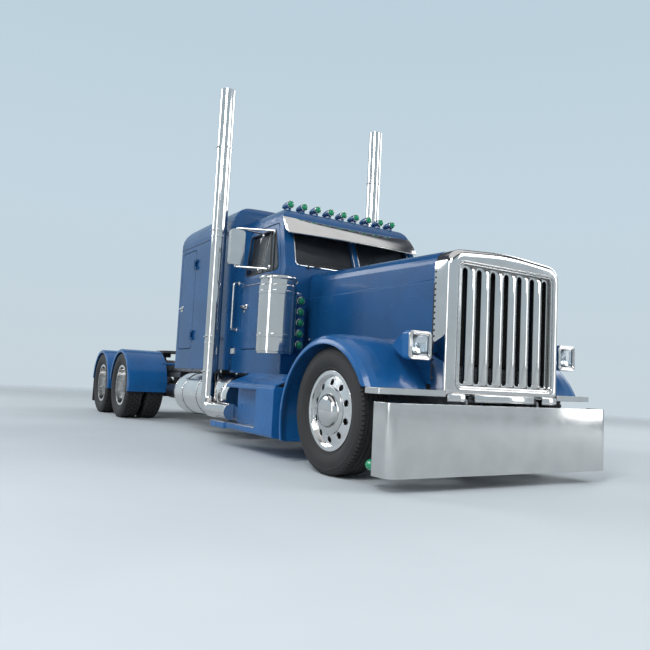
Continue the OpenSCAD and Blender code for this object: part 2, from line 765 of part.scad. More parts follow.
module seats() {
  color("#2c2d31") both_sides() {
    slab_y(rounded([[-2460, floor_z + 390, 60], [-1980, floor_z + 390, 50], [-1980, floor_z + 500, 50],
      [-2330, floor_z + 500, 20], [-2400, floor_z + 1150, 50], [-2500, floor_z + 1150, 50]]), 220, 720);
    box(-2380, -2060, 300, 640, floor_z + 40, floor_z + 392);
  }
}

module dashboard() {
  hub = [-1800, 470, 1780];
  color("#33353a") {
    slab_y(rounded([[-cab_front - wall_t, 1500], [-1560, 1500, 40], [-1640, 1760, 60], [-1500, 1900, 60],
      [-cab_front - wall_t, 1930]]), -cab_hw + wall_t + 80, cab_hw - wall_t - 80);
    rod([-1560, 470, 1650], hub, 28);
    translate(hub) rotate([0, -62, 0]) {
      rotate_extrude() translate([225, 0]) circle(r = 16);
      cylinder(r = 45, h = 24, center = true);
      for (a = [90, 210, 330]) rotate([0, 0, a]) translate([0, -14, -8]) cube([225, 28, 16]);
    }
  }
}

// Bunk across the back of the sleeper
module bunk() {
  color("#5c6678") {
    box(-sleeper_back + wall_t, -3560, -sleeper_hw + wall_t + 10, sleeper_hw - wall_t - 10, floor_z + 40, floor_z + 330);
    slab_y(slot_outline(-sleeper_back + wall_t + 10, floor_z + 330, -3560, floor_z + 480, 50),
      -sleeper_hw + wall_t + 10, sleeper_hw - wall_t - 10);
  }
}

// Doors

module door(side) {
  color("#1d5fae") on_side(side) difference() {
    union() {
      intersection() {
        difference() {
          cab_body(0, floor_z);
          cab_body(wall_t, floor_z + 40);
        }
        slab_y(door_outline(-door_gap), cab_hw - 260, cab_hw + 20);
      }
      hinge_leaf(door_hinge_x, door_hinge_y, door_hinges, cab_hw);
    }
    slab_y(window_outline(0), cab_hw - 300, cab_hw + 20);
  }
}

module door_glass(side) {
  color("#2b2f33") on_side(side) intersection() {
    difference() {
      cab_body(26, floor_z);
      cab_body(34, floor_z - 10);
    }
    slab_y(window_outline(-seat), cab_hw - 300, cab_hw + 20);
  }
}

mirror_pos = [-2000, 1200, 2210];
mirror_size = [54, 180, 400];

// Mirror head on two tubular arms from the door
module door_mirror(side) {
  top = mirror_pos[2] + mirror_size[2] / 2 + 22;
  low = mirror_pos[2] - mirror_size[2] / 2 - 22;
  color("#c8cacd") on_side(side) difference() {
    union() {
      slab_x([for (p = slot_outline(-mirror_size[1] / 2, -mirror_size[2] / 2, mirror_size[1] / 2, mirror_size[2] / 2, 40))
        p + [mirror_pos[1], mirror_pos[2]]], mirror_pos[0] - mirror_size[0] / 2, mirror_pos[0] + mirror_size[0] / 2);
      rod([mirror_pos[0], mirror_pos[1], low], [mirror_pos[0], mirror_pos[1], top], 11);
      for (z = [low + 6, top - 6]) {
        rod([mirror_pos[0], mirror_pos[1], z], [-1720, cab_hw - 90, z - 20], 11);
        rod([mirror_pos[0], mirror_pos[1], z], [-2000, cab_hw - 90, z - 20], 9);
      }
    }
    cab_body(0, floor_z);
  }
}

// Sleeper

function sleeper_side(wall, base) = rounded([[-cab_back - wall, base], [-cab_back - wall, sleeper_top - wall, 160 - wall],
  [-sleeper_back + wall, sleeper_top - 130 - wall, 220 - wall], [-sleeper_back + wall, base]]);

function sleeper_face(wall, base) = rounded([[-sleeper_hw + wall, base], [-sleeper_hw + wall, sleeper_top - 60 - wall, 260 - wall],
  [0, sleeper_top + 20 - wall, 4000], [sleeper_hw - wall, sleeper_top - 60 - wall, 260 - wall], [sleeper_hw - wall, base]]);

module sleeper_body(wall, base) {
  intersection() {
    slab_y(sleeper_side(wall, base), -sleeper_hw - 10, sleeper_hw + 10);
    slab_x(sleeper_face(wall, base), -sleeper_back - 10, -cab_back + 10);
  }
}

function bay_outline(grow) = slot_outline(-bay_back - grow, bay_z - grow, -bay_front + grow, bay_top + grow, 60);

module sleeper_shell() {
  color("#1d5fae") difference() {
    union() {
      difference() {
        sleeper_body(0, floor_z);
        sleeper_body(wall_t, floor_z + 40);
      }
      both_sides() box(-sleeper_back, -cab_back, sleeper_hw - wall_t, sleeper_hw, skirt_z + 30, floor_z + 10);
      both_sides() hinge_eyes(bay_hinge_x, bay_hinge_y, bay_hinges, sleeper_hw);
    }
    for (side = [left, right])
      slab_y(bay_outline(0), side > 0 ? sleeper_hw - 260 : -sleeper_hw - 3, side > 0 ? sleeper_hw + 3 : -sleeper_hw + 260);
    slab_x(slot_outline(-360, floor_z + 40, 360, 2300, 60), -cab_back - wall_t - 20, -cab_back + 5);
  }
}

module bay_door(side) {
  color("#2467b8") on_side(side) union() {
    intersection() {
      difference() {
        sleeper_body(0, floor_z);
        sleeper_body(wall_t, floor_z + 40);
      }
      slab_y(bay_outline(-door_gap), sleeper_hw - 260, sleeper_hw + 20);
    }
    hinge_leaf(bay_hinge_x, bay_hinge_y, bay_hinges, sleeper_hw);
  }
}

// Pieces along the frame

// Canister with its cap, intake pipe to the firewall and the strip that carries the cowl lamps
module air_cleaners() {
  r = canister_r;
  h = canister_h;
  color("#c8cacd") both_sides() translate([canister_x, canister_y, canister_z]) {
    rotate_extrude() polygon(rounded([[0, 0], [r - 8, 0, 8], [r - 8, 20], [r, 24], [r, h - 110], [r - 8, h - 104],
      [r - 8, h - 50], [r + 4, h - 44, 4], [r + 4, h - 20, 14], [r - 50, h, 20], [0, h]]));
    box(-4, 4, 850 - canister_y - 42, 850 - canister_y + 80, cowl_lamps[0] - canister_z - 50,
      cowl_lamps[4] - canister_z + 50);
    difference() {
      for (z = [180, h - 180]) translate([0, -150 - 60, z]) rotate([0, -90, 0])
        cylinder(r = 38, h = cab_front + canister_x);
      translate([-cab_front - canister_x - 100, -400, 0]) cube([100, 400, h]);
    }
    for (z = [180, h - 180]) box(-60, 0, -250, -60, z - 38, z + 38);
  }
}

// Stack, elbow and the pipe that leaves the step box
module exhaust_stacks() {
  bend = 170;
  pipe_z = 385;
  color("#c8cacd") both_sides() translate([0, stack_y, 0]) {
    difference() {
      union() {
        translate([-stack_back, 0, pipe_z + bend]) cylinder(r = stack_r, h = stack_top - pipe_z - bend);
        translate([-stack_back + bend, 0, pipe_z + bend]) rotate([-90, 0, 0]) rotate([0, 0, 90])
          rotate_extrude(angle = 90) translate([bend, 0]) circle(r = stack_r);
        translate([-stack_back + bend, 0, pipe_z]) rotate([0, 90, 0]) cylinder(r = stack_r, h = stack_back - bend - box_back);
        for (z = [1160, 2450]) translate([-stack_back, 0, z - 12]) cylinder(r = stack_r + 4, h = 24);
      }
      translate([-stack_back, 0, stack_top - 300]) cylinder(r = stack_r - 6, h = 301);
    }
    // Standoffs to the sleeper's side
    for (z = [1220, 2510]) box(-stack_back - 30, -stack_back + 30, sleeper_hw - stack_y, -stack_r + 20, z - 20, z + 20);
  }
}

module fuel_tanks() {
  bulge = 30;
  color("#d4d6d9") both_sides() translate([-tank_front, tank_y, tank_z]) rotate([0, -90, 0])
    rotate_extrude() polygon(rounded([[0, 0], [tank_r - 60, 0], [tank_r, bulge, 40], [tank_r, tank_len - bulge, 40],
      [tank_r - 60, tank_len], [0, tank_len]]));
}

// Bands round each tank and the brackets that carry them on the rail
module tank_straps() {
  color("#9b9ea3") both_sides() for (x = [0.2, 0.5, 0.8]) translate([-tank_front - tank_len * x - 25, 0, 0]) difference() {
    union() {
      translate([0, tank_y, tank_z]) rotate([0, 90, 0]) cylinder(r = tank_r + 8, h = 50);
      box(0, 50, rail_y, tank_y, tank_z + 60, rail_top - 60);
    }
    translate([-1, tank_y, tank_z]) rotate([0, 90, 0]) cylinder(r = tank_r + seat, h = 52);
    box(-1, 51, tank_y - 60, tank_y + 1, tank_z + tank_r + 8, rail_top);
  }
}

// Painted box under each door with a cut-back kick plate and a tread
module step_boxes() {
  kick = 150;
  tread_top = box_z + 66;
  color("#2f7fd0") both_sides() {
    difference() {
      slab_x(rounded([[480, box_z + 60], [560, box_z, 40], [box_y, box_z, 30], [box_y, box_top, 30], [480, box_top]]),
        -box_back, -box_front);
      box(-box_back - 1, -1290, box_y - kick, box_y + 10, tread_top, box_top - 40);
    }
    slab_z(rounded([[-box_back - 400, box_y - 260, 30], [-box_back + 40, box_y - 260], [-box_back + 40, box_y + 15, 30],
      [-box_back - 400, box_y + 15, 60]]), box_z, box_z + 62);
    box(-box_back + 100, -box_front - 150, rail_y, 520, box_top - 120, rail_top - 60);
  }
}

module air_tanks() {
  color("#202124") both_sides() {
    translate([-4560, 620, 500]) rotate([0, -90, 0])
      rotate_extrude() polygon(rounded([[0, 0], [110, 0, 50], [110, 1050, 50], [0, 1050]]));
    for (x = [-4800, -5400]) box(x - 25, x + 25, rail_y, 560, 540, rail_z + 100);
  }
}

module deck_plate() {
  color("#a3a6aa") box(-5850, -sleeper_back - 40, -rail_y, rail_y, rail_top, rail_top + 8);
}

// Drive axles, suspension and rear fenders

diff_r = 215;
axle_tube_r = 75;
seat_drop = 95;      // axle centre down to the flat under its spring seats
susp_y = 392;

module drive_axles() {
  inner = twin_y - 160;
  color("#4a4c50") {
    for (x = drive_x) translate([x, 0, axle_z]) {
      rotate([90, 0, 0]) cylinder(r = axle_tube_r, h = 2 * inner, center = true);
      rotate([90, 0, 0]) cylinder(r = rear_spindle_r, h = 2 * (twin_y + 55), center = true);
      rotate([90, 0, 0]) rotate_extrude() polygon(rounded([[0, -150], [110, -150, 30], [diff_r, -40, 60],
        [diff_r, 40, 60], [110, 150, 30], [0, 150]]));
      rotate([0, 90, 0]) cylinder(r = 90, h = 330);
      for (side = [left, right]) box(-70, 70, side * susp_y - 40, side * susp_y + 40, -seat_drop, 0);
    }
    rod([drive_x[1] + 330, 0, axle_z], [drive_x[0], 0, axle_z], 55);
    rod([drive_x[0] + 330, 0, axle_z], [-2110, 0, 740], 58);
  }
}

// Trailing arm, hanger and air spring at each wheel end
module rear_suspension() {
  arm_top = axle_z - seat_drop;
  color("#35373b") for (x = drive_x) both_sides() translate([x, susp_y, 0]) {
    box(-430, 520, -36, 36, arm_top - 64, arm_top);
    box(450, 540, -36, 30, arm_top - 64, rail_z);
    translate([-360, 0, arm_top]) cylinder(r = 120, h = 30);
    translate([-360, 0, arm_top]) cylinder(r = 105, h = rail_z - arm_top);
    translate([-360, 0, arm_top + 110]) cylinder(r = 122, h = 70);
  }
}

// One half-round fender over each twin pair, on two tubes from the rail
module rear_fenders() {
  t = 14;
  inner_y = twin_y - twin_spacing / 2 - tyre_w / 2 - 12;
  outer_y = twin_y + twin_spacing / 2 + tyre_w / 2 + 10;
  color("#2f7fd0") both_sides() for (x = drive_x) translate([x, 0, axle_z]) {
    rotate([-90, 0, 0]) rotate([0, 0, -172]) rotate_extrude(angle = 180, $fn = 128)
      polygon([[rear_fender_r, inner_y], [rear_fender_r, outer_y - 14], [rear_fender_r - 40, outer_y - 14],
        [rear_fender_r - 40, outer_y], [rear_fender_r, outer_y], [rear_fender_r + t, outer_y - 20], [rear_fender_r + t, inner_y]]);
    for (a = [40, 140]) translate([(rear_fender_r + 8) * cos(a), rail_y, (rear_fender_r + 8) * sin(a)])
      rotate([-90, 0, 0]) cylinder(r = 20, h = inner_y + 60 - rail_y);
  }
}

// Cross bar at the tail with the flaps and lamps

bar_z = 735;
lamp_bulge = 14;     // domes of the tail lamps, which end the vehicle
bar_back = tail_x + lamp_bulge;

module rear_bar() {
  color("#c8cacd") slab_y(slot_outline(bar_back, bar_z, rail_back, bar_z + 130, 16), -1190, 1190);
}

module mud_flaps() {
  color("#222326") both_sides()
    slab_x(slot_outline(twin_y - 300, 170, twin_y + 300 - 30, bar_z, 20), bar_back + 16, bar_back + 28);
}

tail_lamp_y = [620, 780, 940, 1100];

module tail_lamps() {
  color("#a3161a") both_sides() for (y = tail_lamp_y)
    translate([bar_back, y, bar_z + 65]) rotate([0, -90, 0]) dome(42, lamp_bulge);
}

// Fifth wheel

module fifth_wheel_base() {
  ear_y = 350;
  color("#3b3d41") {
    box(fifth_x - 330, fifth_x + 330, -rail_y, rail_y, rail_top, rail_top + 16);
    both_sides() difference() {
      slab_y(concat([[fifth_x - 170, rail_top + 14], [fifth_x + 170, rail_top + 14]],
        arc([fifth_x, pivot_z], pivot_ear_r, 20, 160, 12)), ear_y, ear_y + 50);
      translate([fifth_x, ear_y - 1, pivot_z]) rotate([-90, 0, 0]) cylinder(r = pivot_r + run, h = 60);
    }
  }
}

module fifth_wheel_plate() {
  t = fifth_t;
  throat = 75;
  back = -460;
  color("#2c2e31") translate([fifth_x, 0, 0]) {
    difference() {
      slab_z(concat(arc([0, 0], fifth_r, -65, 65, 20), [[-120, fifth_r - 10], [back, 330], [back - 120, 300], [back - 120, 210],
        [-150, throat / 2], [-150, -throat / 2], [back - 120, -210], [back - 120, -300], [back, -330], [-120, -fifth_r + 10]]),
        fifth_top - t, fifth_top);
      translate([0, 0, fifth_top - t - 1]) cylinder(r = jaw_r, h = t + 2);
    }
    both_sides() {
      box(-70, 70, 250, 340, pivot_z - 20, fifth_top - t + 2);
      translate([0, 300, pivot_z]) rotate([-90, 0, 0]) cylinder(r = pivot_r, h = 110);
    }
  }
}

place() frame_rails();
place() front_bumper();
place() front_axle();
place() front_springs();
place() engine();
place() radiator();
place() cab_shell();
place() windshield();
place() sun_visor();
place() roof_lamps();
place() marker_lenses();
place() seats();
place() dashboard();
place() sleeper_shell();
place() bunk();
place() air_cleaners();
place() exhaust_stacks();
place() fuel_tanks();
place() tank_straps();
place() step_boxes();
place() air_tanks();
place() deck_plate();
place() drive_axles();
place() rear_suspension();
place() rear_fenders();
place() rear_bar();
place() mud_flaps();
place() tail_lamps();
place() fifth_wheel_base();
place() fifth_wheel_plate();
place() hood_panel();
place() grille_shell();
place() grille_bars();
place() front_fenders();
place() fender_trim();
place() headlamp_pods();
place() headlamp_lenses();
place() door(left);  // door_left
place() door(right);  // door_right
place() door_glass(left);  // door_glass_left
place() door_glass(right);  // door_glass_right
place() door_mirror(left);  // mirror_left
place() door_mirror(right);  // mirror_right
place() bay_door(left);  // bay_door_left
place() bay_door(right);  // bay_door_right
place() knuckle(left);  // knuckle_left
place() knuckle(right);  // knuckle_right
place() tie_rod();
place() front_tyre(left);  // front_tyre_left
place() front_tyre(right);  // front_tyre_right
place() front_wheel(left);  // front_wheel_left
place() front_wheel(right);  // front_wheel_right
place() twin_tyres(0, left);  // twin_tyres_1_left
place() twin_tyres(0, right);  // twin_tyres_1_right
place() twin_tyres(1, left);  // twin_tyres_2_left
place() twin_tyres(1, right);  // twin_tyres_2_right
place() twin_wheels(0, left);  // twin_wheels_1_left
place() twin_wheels(0, right);  // twin_wheels_1_right
place() twin_wheels(1, left);  // twin_wheels_2_left
place() twin_wheels(1, right);  // twin_wheels_2_right
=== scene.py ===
"""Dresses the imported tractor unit: materials, tyres, trim, lamps, seats and the studio round it."""
import json
from math import acos, cos, exp, pi, radians, sin, tan, tau

import bmesh
import bpy
from mathutils import Matrix, Vector


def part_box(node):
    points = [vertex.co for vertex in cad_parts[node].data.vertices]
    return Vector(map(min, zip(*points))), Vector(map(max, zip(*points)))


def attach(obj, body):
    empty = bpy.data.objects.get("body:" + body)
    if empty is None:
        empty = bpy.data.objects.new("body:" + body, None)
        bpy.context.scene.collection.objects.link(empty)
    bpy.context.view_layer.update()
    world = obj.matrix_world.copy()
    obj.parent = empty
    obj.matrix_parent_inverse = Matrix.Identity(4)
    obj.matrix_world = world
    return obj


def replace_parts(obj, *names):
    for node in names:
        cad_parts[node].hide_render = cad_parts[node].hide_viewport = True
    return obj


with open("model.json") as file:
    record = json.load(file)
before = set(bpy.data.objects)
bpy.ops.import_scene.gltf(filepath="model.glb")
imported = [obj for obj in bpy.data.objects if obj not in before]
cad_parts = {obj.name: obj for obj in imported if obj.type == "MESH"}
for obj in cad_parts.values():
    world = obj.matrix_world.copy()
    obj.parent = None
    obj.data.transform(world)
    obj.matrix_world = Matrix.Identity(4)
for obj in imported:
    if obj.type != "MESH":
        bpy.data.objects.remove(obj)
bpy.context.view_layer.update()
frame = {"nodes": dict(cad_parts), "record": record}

SUBPARTS = frame["record"]["subparts"]
SCENE = bpy.context.scene
SIDES = {"left": 1, "right": -1}
SIGNS = SIDES.values()
AXLE_X = 3.82          # the front axle in the row frame, metres
AHEAD, BEHIND, LEFT, UP = (1, 0, 0), (-1, 0, 0), (0, 1, 0), (0, 0, 1)


# Materials

RELIEF = 0.001         # height of every bump texture, metres


def settle(node, **values):
    """Sets a node's inputs; an underscore in a name stands for a space."""
    for name, value in values.items():
        node.inputs[name.replace("_", " ")].default_value = value
    return node


def add(near, kind, **values):
    """A new node beside another, with some inputs set."""
    return settle(near.id_data.nodes.new("ShaderNode" + kind), **values)


def link(source, target):
    """Joins an output socket to an input socket of the same tree."""
    source.id_data.links.new(source, target)


def material(name, colour, rough, **values):
    """A new Principled material and its shader."""
    mat = bpy.data.materials.new(name)
    mat.use_nodes = True
    shader = mat.node_tree.nodes["Principled BSDF"]
    return mat, settle(shader, Base_Color=(*colour, 1.0), Roughness=rough, **values)


def noise(shader, scale, detail=4.0, rough=0.55):
    """Noise over the object's own coordinates."""
    node = add(shader, "TexNoise", Scale=scale, Detail=detail, Roughness=rough)
    link(add(shader, "TexCoord").outputs["Object"], node.inputs["Vector"])
    return node.outputs["Fac"]


def ramp(source, stops):
    """A colour ramp fed by a value; stops are (place, colour) rows."""
    node = add(source, "ValToRGB")
    elements = node.color_ramp.elements
    while len(elements) < len(stops):
        elements.new(0.5)
    for element, (place, colour) in zip(elements, stops):
        element.position = place
        element.color = (*colour, 1.0)
    link(source, node.inputs["Fac"])
    return node.outputs["Color"]


def tint(shader, source, dark, light):
    """Base colour that wanders between two shades with a texture."""
    link(ramp(source, [(0.35, dark), (0.65, light)]), shader.inputs["Base Color"])


def bump(shader, source, strength, edge=0.0):
    """Relief from a texture; edge is the radius, in metres, over which light rounds a sheet's edges."""
    node = add(shader, "Bump", Strength=strength, Distance=RELIEF)
    link(source, node.inputs["Height"])
    link(node.outputs["Normal"], shader.inputs["Normal"])
    if edge:
        bevel = add(shader, "Bevel", Radius=edge)
        bevel.samples = 4
        link(bevel.outputs["Normal"], node.inputs["Normal"])


def shade(colour, factor):
    return tuple(min(1.0, c * factor) for c in colour)


def weathered(name, colour, rough, cloud, shades, spread, smear=None, **values):
    """A material whose colour and roughness wander with a noise, or the roughness with one of its own."""
    mat, shader = material(name, colour, rough, **values)
    source = noise(shader, *cloud)
    tint(shader, source, *(shade(colour, factor) for factor in shades))
    span = add(shader, "MapRange", To_Min=rough + spread[0], To_Max=rough + spread[1])
    link(noise(shader, *smear) if smear else source, span.inputs["Value"])
    link(span.outputs["Result"], shader.inputs["Roughness"])
    return mat, shader


def painted(name, colour, rough=0.26, coat=0.18):
    """Gloss vehicle paint with faint orange peel and a little colour wander."""
    mat, shader = weathered(name, colour, rough, (2.2, 3.0), (0.9, 1.1), (-0.04, 0.05), (3.0, 1.0),
                            Coat_Weight=coat, Coat_Roughness=0.05, Specular_IOR_Level=0.22)
    bump(shader, noise(shader, 70.0, 1.0), 0.015, 0.008)
    return mat


def bright_metal(name, colour, rough, wander=0.06, grain=240.0, relief=0.02):
    """Chrome or polished alloy with faint ripple and smears."""
    spread = (max(0.02 - rough, -wander / 2), wander)
    mat, shader = weathered(name, colour, rough, (5.0, 5.0), (0.92, 1.0), spread, Metallic=1.0)
    bump(shader, noise(shader, grain, 2.0, 0.5), relief, 0.006)
    return mat


def rough_metal(name, colour, rough, metal=0.3):
    """Cast or painted running gear with grime."""
    mat, shader = weathered(name, colour, rough, (14.0, 8.0, 0.65), (0.6, 1.25), (-0.12, 0.15), Metallic=metal)
    bump(shader, noise(shader, 260.0, 3.0), 0.12, 0.004)
    return mat


def grained(name, colour, rough, scale, relief, sheen=0.0):
    """Moulded plastic, rubber, leather or cloth with a fine grain."""
    mat, shader = weathered(name, colour, rough, (6.0, 5.0), (0.8, 1.2), (-0.08, 0.08), Sheen_Weight=sheen)
    cells = add(shader, "TexVoronoi", Scale=scale)
    link(add(shader, "TexCoord").outputs["Object"], cells.inputs["Vector"])
    bump(shader, cells.outputs["Distance"], relief)
    return mat


def glass(name, colour, rough, through):
    """Tinted glass with a faint film of dust."""
    return weathered(name, colour, rough, (7.0, 6.0), (0.92, 1.0), (0.0, 0.06),
                     Transmission_Weight=through, IOR=1.5)[0]


BLUE = (0.007, 0.068, 0.196)
# Name: the kind of surface, its colour and that kind's own values
SURFACES = {
    "blue_paint": (painted, BLUE),
    # A lighter copy of the body blue for fenders, step boxes and fairings: partly their own lighter paint, partly
    # painted highlight where they catch the light
    "fender_paint": (painted, shade(BLUE, 1.5)),
    "chrome": (bright_metal, (0.62, 0.61, 0.60), 0.07),
    "polished_aluminium": (bright_metal, (0.74, 0.735, 0.73), 0.16, 0.1),
    "frame_paint": (rough_metal, (0.20, 0.21, 0.23), 0.45),
    "running_gear": (rough_metal, (0.045, 0.047, 0.052), 0.55),
    "coupling_steel": (rough_metal, (0.05, 0.05, 0.053), 0.42, 0.6),
    "engine_paint": (rough_metal, (0.14, 0.15, 0.16), 0.45),
    "core_black": (grained, (0.012, 0.012, 0.013), 0.6, 300.0, 0.3),
    "tank_black": (painted, (0.012, 0.012, 0.014), 0.3, 0.4),
    "tyre": (grained, (0.016, 0.016, 0.017), 0.72, 420.0, 0.15),
    "flap_rubber": (grained, (0.014, 0.014, 0.015), 0.65, 250.0, 0.2),
    "dark_glass": (glass, (0.16, 0.18, 0.20), 0.02, 0.85),
    "clear_lens": (glass, (0.92, 0.95, 0.97), 0.03, 0.95),
    "green_lens": (glass, (0.012, 0.36, 0.17), 0.08, 0.30),
    "red_lens": (glass, (0.45, 0.01, 0.012), 0.08, 0.30),
    "upholstery": (grained, (0.03, 0.03, 0.034), 0.5, 180.0, 0.25, 0.1),
    "dash_plastic": (grained, (0.035, 0.037, 0.042), 0.5, 300.0, 0.2),
    "bedding": (grained, (0.16, 0.19, 0.25), 0.8, 500.0, 0.3, 0.3),
    "gasket": (grained, (0.02, 0.02, 0.021), 0.6, 300.0, 0.1),
    "pale_trim": (bright_metal, (0.62, 0.66, 0.70), 0.22, 0.08),
    "mirror_glass": (bright_metal, (0.72, 0.76, 0.79), 0.03, 0.02, 8.0, 0.005),
    "tread_plate": (bright_metal, (0.55, 0.56, 0.58), 0.30, 0.15, 320.0, 0.08),
    "dial_face": (grained, (0.55, 0.56, 0.54), 0.5, 900.0, 0.05),
    "pale_lens": (glass, (0.80, 0.86, 0.84), 0.1, 0.35),
}
LOOKS = {name: make(name, *values) for name, (make, *values) in SURFACES.items()}

for row in SUBPARTS:
    mesh = frame["nodes"][row["node"]].data
    mesh.materials.clear()
    mesh.materials.append(LOOKS[row["material_slot"]])


# Forms, in millimetres from the front axle, X forward

def circle(middle, side, up, radius, steps):
    """Points round a middle, in the plane of two directions."""
    turns = [tau * k / steps for k in range(steps)]
    return [middle + (side * cos(t) + up * sin(t)) * radius for t in turns]


def rounded(corners, radii, steps=6):
    """A closed outline with its corners rounded by one radius, or by one for each."""
    points = []
    count = len(corners)
    radii = radii if isinstance(radii, list) else [radii] * count
    for i, (corner, radius) in enumerate(zip(corners, radii)):
        here = Vector(corner)
        back = (Vector(corners[i - 1]) - here).normalized()
        ahead = (Vector(corners[(i + 1) % count]) - here).normalized()
        half = acos(max(-1.0, min(1.0, back.dot(ahead)))) / 2
        middle = here + (back + ahead).normalized() * (radius / sin(half))
        first = here + back * (radius / tan(half)) - middle
        last = here + ahead * (radius / tan(half)) - middle
        for k in range(steps + 1):
            share = k / steps
            points.append(middle + (first * (1 - share) + last * share).normalized() * radius)
    return points


def rectangle(low, high, radius):
    return rounded([(low[0], low[1]), (high[0], low[1]), (high[0], high[1]), (low[0], high[1])], radius)


def bent(path, radius, steps=5):
    """An open path whose inner corners are rounded."""
    points = [Vector(path[0])]
    for before, here, after in zip(path, path[1:], path[2:]):
        here = Vector(here)
        back = (Vector(before) - here).normalized()
        ahead = (Vector(after) - here).normalized()
        for k in range(steps + 1):
            share = k / steps
            points.append(here + back * radius * (1 - share) ** 2 + ahead * radius * share ** 2)
    points.append(Vector(path[-1]))
    return points


def on_side(y, out):
    """Places a plate's (u, v, depth) on an upright side face, growing to the left or the right."""
    return lambda u, v, depth: (u, y + out * depth, v)


def on_front(x, sign=1):
    """Places a plate's (u, v, depth) on a face that looks ahead, mirrored for the right side."""
    return lambda u, v, depth: (x + depth, sign * u, v)


def cube(mesh, low, high):
    """Adds a box between two corners, in either order, and returns its vertices."""
    made = bmesh.ops.create_cube(mesh, size=1.0)["verts"]
    low, high = (Vector(map(pick, low, high)) for pick in (min, max))
    for vert in made:
        vert.co = Vector(((low[k] + high[k]) / 2 + vert.co[k] * (high[k] - low[k])) for k in range(3))
    return made


def into_scene(name, data):
    """A new object in the scene."""
    made = bpy.data.objects.new(name, data)
    SCENE.collection.objects.link(made)
    return made


def box_mm(node):
    """A node's corners in millimetres from the front axle."""
    return [Vector(((p[0] - AXLE_X) * 1000, p[1] * 1000, p[2] * 1000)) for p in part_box(node)]


class Form:
    """A mesh gathered from turned, swept and bevelled shapes."""

    def __init__(self):
        self.mesh = bmesh.new()

    def skin(self, rings, loop=False, sheet=False):
        """Joins rings of points, each as long as the next; a sheet has open rows and no end caps."""
        rows = [[self.mesh.verts.new(point) for point in ring] for ring in rings]
        count = len(rows[0])
        pairs = list(zip(rows, rows[1:]))
        if loop:
            pairs.append((rows[-1], rows[0]))
        for a, b in pairs:
            for i in range(count - 1 if sheet else count):
                j = (i + 1) % count
                self.mesh.faces.new((a[i], a[j], b[j], b[i]))
        if not (sheet or loop):
            self.mesh.faces.new(rows[0][::-1])
            self.mesh.faces.new(rows[-1])

    def lathe(self, profile, origin, axis, steps=32, loop=False):
        """Turns (radius, distance along the axis) rows about an axis."""
        axis = Vector(axis).normalized()
        side = axis.orthogonal().normalized()
        up = axis.cross(side)
        self.skin([circle(Vector(origin) + axis * along, side, up, max(radius, 0.05), steps)
                   for radius, along in profile], loop)

    def band(self, radius, rise, half, origin, axis, steps):
        """A flat strap round a cylinder, with sloping edges."""
        self.lathe([(radius + 1, -half), (radius + rise, 2 - half), (radius + rise, half - 2), (radius + 1, half)],
                   origin, axis, steps, True)

    def tube(self, path, radius, steps=10, loop=False):
        """Sweeps a circle along a path."""
        points = [Vector(p) for p in path]
        count = len(points)
        rings = []
        side = None
        for i, point in enumerate(points):
            before = points[i - 1] if i or loop else point
            after = points[(i + 1) % count] if i < count - 1 or loop else point
            ahead = (after - before).normalized()
            side = ahead.orthogonal() if side is None else side - ahead * side.dot(ahead)
            side.normalize()
            rings.append(circle(point, side, ahead.cross(side), radius, steps))
        self.skin(rings, loop)

    def bow(self, first, last, reach, bend, radius, steps=10):
        """A handle between two feet, standing off them by a vector."""
        first, last, reach = Vector(first), Vector(last), Vector(reach)
        self.tube(bent([first, first + reach, last + reach, last], bend), radius, steps)

    def block(self, low, high, edge):
        """A box with rounded edges."""
        edges = list({e for vert in cube(self.mesh, low, high) for e in vert.link_edges})
        bmesh.ops.bevel(self.mesh, geom=edges, offset=edge, segments=2, affect="EDGES", profile=0.5)

    def plate(self, outline, place, thick, edge):
        """A flat outline given thickness; place maps (u, v, depth) to a point."""
        middle = sum(outline, Vector((0, 0))) / len(outline)
        span = max((p - middle).length for p in outline)
        inner = [middle + (p - middle) * (1 - edge / span) for p in outline]
        layers = [(inner, 0.0), (outline, edge), (outline, thick - edge), (inner, thick)]
        self.skin([[place(p[0], p[1], depth) for p in points] for points, depth in layers])

    def nut(self, origin, axis, size, height):
        """A hexagon head with a rounded end."""
        self.lathe([(size, 0), (size, height * 0.75), (size * 0.8, height)], origin, axis, 6)

    def done(self, name, look, body, sharp=35.0):
        """The finished piece, in the row frame, riding on its body."""
        bmesh.ops.recalc_face_normals(self.mesh, faces=self.mesh.faces[:])
        for vert in self.mesh.verts:
            vert.co = (vert.co.x / 1000 + AXLE_X, vert.co.y / 1000, vert.co.z / 1000)
        data = bpy.data.meshes.new(name)
        self.mesh.to_mesh(data)
        self.mesh.free()
        for face in data.polygons:
            face.use_smooth = True
        data.set_sharp_from_angle(angle=radians(sharp))
        data.materials.append(LOOKS[look])
        piece = into_scene(name, data)
        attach(piece, body)
        return piece


# Tyres

TYRE_R = 535.0
TREAD_HALF = 114.0
TREAD_FALL = 3.0       # how much lower the tread's edge lies than its middle
GROOVE = 13.0
# Sidewall from bead to shoulder: (radius, half width)
SIDEWALL = [(318, 89), (341, 97), (352, 109), (357, 113), (361, 112), (380, 124), (408, 136), (430, 139.5),
            (455, 139.5), (478, 136), (481, 138), (489, 137), (492, 134), (512, 128)]
# Ribs across the tread: (inner edge, outer edge) from the middle
RIBS = [(0, 22), (30, 66), (74, 114)]
PITCHES = {"steer": 44, "drive": 40}
# Stations round the tyre, as shares of one pitch of the tread, and those at which ribs are cut
STATIONS = (0.0, 0.30, 0.33, 0.47, 0.50, 0.80, 0.83, 0.97)
FIRST_CUT, SECOND_CUT = (0.33, 0.47), (0.83, 0.97)


